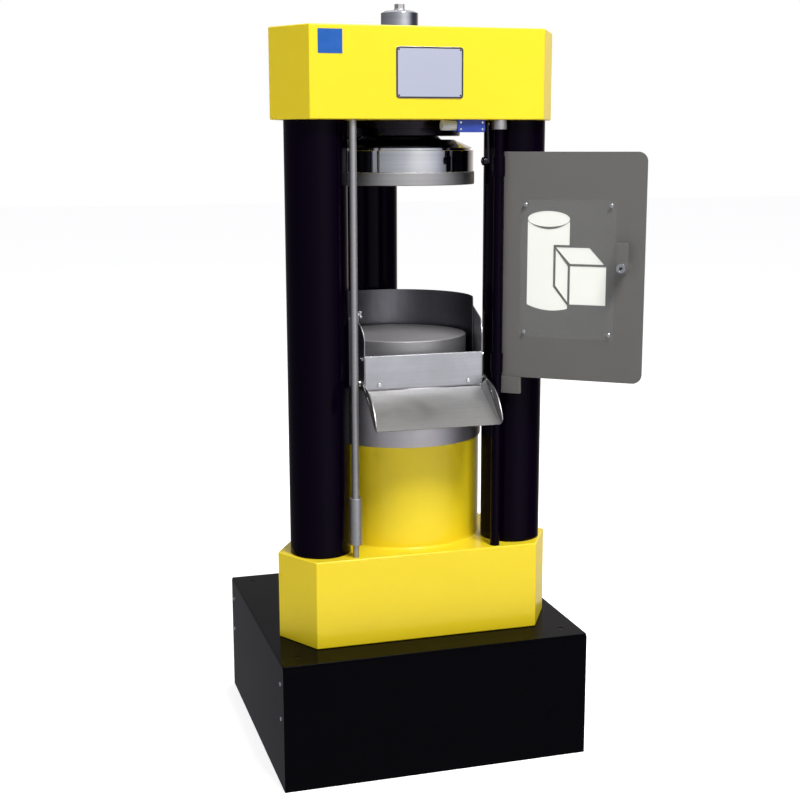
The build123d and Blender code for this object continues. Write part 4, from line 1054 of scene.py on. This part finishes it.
class MACHINE_OT_upper_platen(bpy.types.Operator):
    """Turn the upper platen and its polished block, and dress its ball and the seat"""

    bl_idname = "machine.upper_platen"
    bl_label = "Upper platen"

    def execute(self, context):
        steps = context.scene.machine_detail.round_steps
        platen = disc(UPPER_PLATEN_RADIUS, UPPER_PLATEN_LOW, UPPER_PLATEN_TOP, PLATEN_CHAMFER)
        turned("upper_platen", platen, "ground_steel", "upper_platen", steps=steps, edge=0.5)
        block = [
            (0, UPPER_PLATEN_TOP), (PLATEN_BLOCK_RADIUS, UPPER_PLATEN_TOP),
            (PLATEN_BLOCK_RADIUS, GROOVE_LOW), (GROOVE_RADIUS, GROOVE_LOW), (GROOVE_RADIUS, GROOVE_HIGH),
            (CONE_FOOT_RADIUS, GROOVE_HIGH), (CONE_TOP_RADIUS, CONE_TOP), (0, CONE_TOP),
        ]
        turned("platen_block", block, "polished_steel", "upper_platen", steps=steps, edge=1.4)
        clad("ball_segment", "polished_steel", "upper_platen", sharp=34)
        clad("seat_housing", "dark_steel", sharp=34)
        return {"FINISHED"}


class MACHINE_OT_suspension(bpy.types.Operator):
    """Turn the polished cap on the crosshead and dress what it covers"""

    bl_idname = "machine.suspension"
    bl_label = "Suspension cap"

    def execute(self, context):
        cap = [
            (CAP_HOLE, CAP_ROOM), (CAP_HOLE, CAP_TOP), (CAP_SLOPE_RADIUS, CAP_TOP),
            (CAP_RADIUS, CAP_SLOPE_LOW), (CAP_RADIUS, CROSSHEAD_TOP), (CAP_BORE, CROSSHEAD_TOP),
            (CAP_BORE, CAP_ROOM),
        ]
        turned("suspension_cap", cap, "polished_steel", edge=1.0)
        clad("suspension_nut", "ground_steel", edge=0.0004)
        clad("suspension_rod", "raw_steel")
        clad("suspension_spring", "raw_steel")
        return {"FINISHED"}


class MACHINE_OT_tray(bpy.types.Operator):
    """Turn the collar and dress the tray, guard, screws and wing screw"""

    bl_idname = "machine.tray"
    bl_label = "Tray"

    def execute(self, context):
        detail = context.scene.machine_detail
        collar = [
            (COLLAR_INNER, COLLAR_LOW), (COLLAR_OUTER, COLLAR_LOW), (COLLAR_OUTER, COLLAR_TOP),
            (COLLAR_HOLE, COLLAR_TOP), (COLLAR_HOLE, CYLINDER_TOP), (COLLAR_INNER, CYLINDER_TOP),
        ]
        turned("tray_collar", collar, "collar_steel", slot="ground_steel", steps=detail.round_steps, edge=1.6)
        for name in ("tray_floor", "tray_front", "tray_side_left", "tray_side_right"):
            clad(name, "stainless", edge=detail.sheet_edge)
        clad("rear_guard", "guard_steel", edge=detail.sheet_edge)
        clad("wing_screw", "ground_steel", edge=0.0006)
        clad("tray_screws", "polished_steel", edge=0.0008)
        clad("chute_pins", "polished_steel", edge=0.0006)
        return {"FINISHED"}


class MACHINE_OT_chute(bpy.types.Operator):
    """Dress the folded chute"""

    bl_idname = "machine.chute"
    bl_label = "Chute"

    def execute(self, context):
        clad("chute", "chute_steel", "chute", "stainless", edge=context.scene.machine_detail.sheet_edge)
        return {"FINISHED"}


class MACHINE_OT_posts(bpy.types.Operator):
    """Turn the strike post, its sleeve, the hinge post and its bush"""

    bl_idname = "machine.posts"
    bl_label = "Door posts"

    def execute(self, context):
        left, right = (-POST_X, -POST_Y), (POST_X, -POST_Y)
        strike = [
            (0, POST_FOOT), (STRIKE_NECK, POST_FOOT), (STRIKE_NECK, SLEEVE_TOP), (STRIKE_RADIUS, SLEEVE_TOP),
            (STRIKE_RADIUS, POST_HEAD), (0, POST_HEAD),
        ]
        turned("strike_post", strike, "ground_steel", centre=left, steps=48, edge=0.4)
        sleeve = tube(SLEEVE_HOLE, SLEEVE_RADIUS, SLEEVE_LOW, SLEEVE_TOP)
        turned("strike_sleeve", sleeve, "ground_steel", centre=left, steps=64, edge=1.4)
        hinge = tube(0, HINGE_RADIUS, POST_FOOT, POST_HEAD)
        turned("hinge_post", hinge, "column_black", centre=right, steps=64, edge=0.5)
        bush = tube(BUSH_HOLE, BUSH_RADIUS, BUSH_LOW, CROSSHEAD_LOW)
        turned("hinge_bush", bush, "ground_steel", centre=right, steps=64, edge=1.0)
        clad("support_lug", "door_grey", edge=0.001)
        return {"FINISHED"}


class MACHINE_OT_door(bpy.types.Operator):
    """Dress the door leaf, its pane, its hinge barrels, its film and the pane's screws"""

    bl_idname = "machine.door"
    bl_label = "Door"

    def execute(self, context):
        clad("door_leaf", "door_grey", "door", edge=context.scene.machine_detail.leaf_edge)
        pane = skin("door_window", sharp=5.0)
        inward = door_inward()
        gap = PANE_GAP * MM
        lowest = min(vertex.co.dot(inward) for vertex in pane.data.vertices)
        for vertex in pane.data.vertices:
            # a hair's gap keeps the pane's back from lying in the leaf's face
            if vertex.co.dot(inward) < lowest + gap:
                vertex.co += inward * gap
        dress(pane, "clear_pane", "door", stands_for=["door_window"])
        clad("door_barrels", "column_black", "door", edge=0.0005)
        dress(door_film("pictogram_film"), "pictogram_film", "door")
        head = head_shape("pane_screw_head", radius=4.5, height=2.6, socket=2.2, depth=1.6)
        places = []
        for along in (PANE_ALONG - PANE_SCREW_ALONG, PANE_ALONG + PANE_SCREW_ALONG):
            for height in (PANE_MIDDLE - PANE_SCREW_RISE, PANE_MIDDLE + PANE_SCREW_RISE):
                places.append((door_point(along, height, PANE_FACE), inward))
        fasteners(
            "pane_screws", places, head, "polished_steel", "door", stands_for=["window_screws"],
            size=0.98, seed=2,
        )
        return {"FINISHED"}


class MACHINE_OT_latch(bpy.types.Operator):
    """Dress the latch hub, the knob with its bright spindle and a black disc painted as the shade in its
    socket, and the tongue
    """

    bl_idname = "machine.latch"
    bl_label = "Latch"

    def execute(self, context):
        clad("latch_hub", "ground_steel", "door", edge=0.0004)
        knob = clad("latch_knob", "knob_black", "latch", edge=0.0004)
        knob.data.materials.append(MATERIALS["polished_steel"])
        inward, face = door_inward(), Vector(door_point(0.0, 0.0)) * MM
        for polygon in knob.data.polygons:
            # the knob's spindle is bright where it comes through the leaf
            if (polygon.center - face).dot(inward) > KNOB_STEEL_FROM * MM:
                polygon.material_index = 1
        deepest = max((vertex.co - face).dot(inward) for vertex in knob.data.vertices)
        end = [
            vertex.co for vertex in knob.data.vertices
            if (vertex.co - face).dot(inward) > deepest - KNOB_END * MM
        ]
        middle = sum(end, Vector()) / len(end) / MM
        # painted shade: a flat black disc, sunk a hair into the knob's end, stands for the shade inside its
        # socket
        socket = head_shape("latch_socket_head", radius=2.7, height=0.3, depth=0.05, dome=0.0, sides=24)
        fasteners("latch_socket", [(middle - inward * SOCKET_SUNK, inward)], socket, "knob_black", "latch")
        clad("latch_tongue", "door_grey", "latch", edge=0.0006)
        return {"FINISHED"}


class MACHINE_OT_switch(bpy.types.Operator):
    """Dress the door switch, its gland, its lever, the roller and their small fittings"""

    bl_idname = "machine.switch"
    bl_label = "Door switch"

    def execute(self, context):
        clad("switch_body", "switch_blue", edge=0.0006)
        clad("switch_gland", "switch_grey", edge=0.0006)
        clad("switch_lever", "dark_steel", "lever", edge=0.0004)
        clad("switch_roller", "dark_steel", "roller", "ground_steel", edge=0.0006)
        nut = head_shape("lever_nut_head", radius=5.6, height=3.6, depth=0.2, dome=0.4, sides=6)
        places = [(LEVER_PIVOT, (1.0, 0.0, 0.0))]
        fasteners("lever_nut", places, nut, "polished_steel", "lever")
        screw = head_shape("cover_screw_head", radius=2.4, height=1.0, dome=0.5, sides=20)
        places = [((x, COVER_FACE, z), FRONT) for x in COVER_SCREW_X for z in COVER_SCREW_Z]
        fasteners("switch_cover_screws", places, screw, "polished_steel", "frame")
        return {"FINISHED"}


class MACHINE_OT_plates(bpy.types.Operator):
    """Dress the blank data plate, with its border and rivets, and the plain label"""

    bl_idname = "machine.plates"
    bl_label = "Plates"

    def execute(self, context):
        clad("nameplate", "plate_silver", edge=0.0004)
        border = plate_border("plate_border", inset=0.4, width=3.4, thick=0.2)
        dress(border, "plate_rim", "frame")
        head = head_shape("plate_rivet", radius=1.9, height=0.9, dome=0.8, sides=20)
        x, z = PLATE_HALF_WIDTH - RIVET_INSET, PLATE_HALF_HEIGHT - RIVET_INSET
        places = [((a * x, PLATE_FACE, PLATE_MIDDLE + b * z), FRONT) for a in (-1, 1) for b in (-1, 1)]
        fasteners("plate_rivets", places, head, "dark_steel", "frame", seed=3)
        clad("label_plate", "label_blue")
        return {"FINISHED"}


# Studio

CAMERA_PLACE = (-0.9133, -3.0597, 1.4172)
CAMERA_YAW = math.radians(16.606)
CAMERA_PITCH = math.radians(10.695)
CAMERA_ROLL = math.radians(-0.126)
CAMERA_HEADING = math.radians(106.6)
LIT_POINT = (0.0, 0.0, 1.0)
MATT_SKY = (0.32, 0.32, 0.335)
HIGH_SKY = (0.75, 0.75, 0.78)
WHITE = (1.0, 1.0, 1.0)

# What polished faces mirror round the horizon, from behind the machine and round by the viewer's left.
# The places are shares of the full turn, with 0.5 towards the camera.
HORIZON = {
    0.0: (0.35, 0.33, 0.32),
    0.08: (0.12, 0.12, 0.14),
    0.24: (0.2, 0.2, 0.23),
    0.4: (0.28, 0.28, 0.31),
    0.52: (0.55, 0.57, 0.6),
    0.59: (1.1, 1.1, 1.1),
    0.67: (0.5, 0.52, 0.6),
    0.73: (0.03, 0.03, 0.05),
    0.88: (0.03, 0.025, 0.035),
    0.95: (0.9, 0.8, 0.72),
    1.0: (0.5, 0.46, 0.43),
}


def sky(world):
    """White to the camera, pale to matt surfaces, and dim with one broad window to polished ones."""
    world.use_nodes = True
    tree = world.node_tree
    tree.nodes.clear()
    out = tree.nodes.new("ShaderNodeOutputWorld")
    sight = node(tree, "ShaderNodeTexCoord").outputs["Generated"]
    way = node(tree, "ShaderNodeSeparateXYZ", None, {0: sight})
    heading = maths(tree, "ARCTAN2", way.outputs[1], way.outputs[0])
    # 0 points from the machine to the camera, and +1 is half a turn round by the viewer's right
    from_camera = maths(tree, "WRAP", maths(tree, "ADD", heading, CAMERA_HEADING), math.pi, -math.pi)
    share = maths(tree, "MULTIPLY", from_camera, 1 / math.pi)
    ramp = tree.nodes.new("ShaderNodeValToRGB")
    ramp.color_ramp.interpolation = "B_SPLINE"
    while len(ramp.color_ramp.elements) < len(HORIZON):
        ramp.color_ramp.elements.new(0.5)
    for element, (place, colour) in zip(ramp.color_ramp.elements, HORIZON.items()):
        element.position = place
        element.color = (*colour, 1.0)
    tree.links.new(maths(tree, "ADD", maths(tree, "MULTIPLY", share, 0.5), 0.5), ramp.inputs[0])
    upper = remap(tree, way.outputs[2], 0.15, 0.6, 0.0, 1.0)
    glossy = blend_colours(tree, upper, ramp.outputs[0], HIGH_SKY)
    rays = tree.nodes.new("ShaderNodeLightPath")
    matt = blend_colours(tree, rays.outputs["Is Camera Ray"], MATT_SKY, WHITE)
    seen = blend_colours(tree, rays.outputs["Is Glossy Ray"], matt, glossy)
    light = node(tree, "ShaderNodeBackground", {"Strength": 1.0}, {"Color": seen})
    tree.links.new(light.outputs[0], out.inputs["Surface"])


def soft_light(name, place, size, power, colour, in_reflections=False):
    """A square soft light aimed at the machine's middle."""
    data = bpy.data.lights.new(name, "AREA")
    data.size = size
    data.energy = power
    data.color = colour
    made = bpy.data.objects.new(name, data)
    bpy.context.scene.collection.objects.link(made)
    made.location = place
    made.rotation_euler = (Vector(LIT_POINT) - Vector(place)).to_track_quat("-Z", "Y").to_euler()
    made.visible_glossy = in_reflections


def pale_floor():
    """A wide floor, nearly white to the camera and left out of reflections."""
    bm = bmesh.new()
    bmesh.ops.create_grid(bm, x_segments=2, y_segments=2, size=30.0)
    floor = put(bm, "studio_floor", weighted=False)
    tree, shader = blank_material("studio_floor")
    shader.inputs["Base Color"].default_value = (0.8, 0.8, 0.8, 1.0)
    shader.inputs["Roughness"].default_value = 0.9
    shader.inputs["Specular IOR Level"].default_value = 0.0
    shader.inputs["Emission Color"].default_value = (*WHITE, 1.0)
    seen = tree.nodes.new("ShaderNodeLightPath").outputs["Is Camera Ray"]
    tree.links.new(maths(tree, "MULTIPLY", seen, 0.72), shader.inputs["Emission Strength"])
    floor.data.materials.append(MATERIALS["studio_floor"])
    floor.visible_glossy = False
    return floor


def place_camera(scene, lens):
    """Stands the camera where the photograph was taken from."""
    level = math.cos(CAMERA_PITCH)
    ahead = Vector((math.sin(CAMERA_YAW) * level, math.cos(CAMERA_YAW) * level, -math.sin(CAMERA_PITCH)))
    side = Vector((math.cos(CAMERA_YAW), -math.sin(CAMERA_YAW), 0.0))
    up = side.cross(ahead)
    side, up = (
        side * math.cos(CAMERA_ROLL) + up * math.sin(CAMERA_ROLL),
        up * math.cos(CAMERA_ROLL) - side * math.sin(CAMERA_ROLL),
    )
    data = bpy.data.cameras.new("camera")
    data.lens = lens
    data.sensor_width = 36.0
    camera = bpy.data.objects.new("camera", data)
    scene.collection.objects.link(camera)
    turn = Matrix((side, up, -ahead)).transposed().to_4x4()
    camera.matrix_world = Matrix.Translation(CAMERA_PLACE) @ turn
    scene.camera = camera


class MACHINE_OT_stage(bpy.types.Operator):
    """Set the pale floor, the soft lights and the camera"""

    bl_idname = "machine.stage"
    bl_label = "Stage"

    def execute(self, context):
        scene = context.scene
        stage = scene.machine_stage
        pale_floor()
        scene.world = bpy.data.worlds.new("studio")
        sky(scene.world)
        soft_light("key", (0.8, -3.0, 5.2), 1.5, stage.key_power, (1.0, 0.985, 0.96), in_reflections=True)
        soft_light("fill", (-3.6, -2.2, 1.8), 2.0, stage.fill_power, (0.95, 0.97, 1.0))
        soft_light("back", (2.8, 2.6, 3.0), 2.4, stage.back_power, (1.0, 0.95, 0.86))
        soft_light("top", (0.2, 0.4, 4.6), 2.6, stage.top_power, WHITE)
        place_camera(scene, stage.lens)
        scene.view_settings.view_transform = "Standard"
        scene.view_settings.look = "None"
        return {"FINISHED"}


OPERATORS = (
    MACHINE_OT_materials, MACHINE_OT_plinth, MACHINE_OT_plinth_screws, MACHINE_OT_beams, MACHINE_OT_columns,
    MACHINE_OT_cylinder, MACHINE_OT_ram, MACHINE_OT_upper_platen, MACHINE_OT_suspension, MACHINE_OT_tray,
    MACHINE_OT_chute, MACHINE_OT_posts, MACHINE_OT_door, MACHINE_OT_latch, MACHINE_OT_switch,
    MACHINE_OT_plates, MACHINE_OT_stage,
)


class MACHINE_PT_sidebar(bpy.types.Panel):
    """Lists the settings and the steps that build the machine"""

    bl_idname = "MACHINE_PT_sidebar"
    bl_label = "Testing Machine"
    bl_space_type = "VIEW_3D"
    bl_region_type = "UI"
    bl_category = "Testing Machine"

    def draw(self, context):
        scene = context.scene
        for settings in (scene.machine_finish, scene.machine_detail, scene.machine_stage):
            box = self.layout.box()
            for key in settings.__annotations__:
                box.prop(settings, key)
        for operator in OPERATORS:
            self.layout.operator(operator.bl_idname)


CLASSES = (MachineFinish, MachineDetail, MachineStage, *OPERATORS, MACHINE_PT_sidebar)


def register():
    """Registers the classes and hangs the settings on the scene."""
    for cls in CLASSES:
        bpy.utils.register_class(cls)
    bpy.types.Scene.machine_finish = PointerProperty(type=MachineFinish)
    bpy.types.Scene.machine_detail = PointerProperty(type=MachineDetail)
    bpy.types.Scene.machine_stage = PointerProperty(type=MachineStage)


def unregister():
    """Takes the settings and classes away."""
    del bpy.types.Scene.machine_finish
    del bpy.types.Scene.machine_detail
    del bpy.types.Scene.machine_stage
    for cls in reversed(CLASSES):
        bpy.utils.unregister_class(cls)


def main():
    """Builds every piece in order."""
    register()
    for operator in OPERATORS:
        group, name = operator.bl_idname.split(".")
        getattr(getattr(bpy.ops, group), name)()


if __name__ == "__main__":
    main()
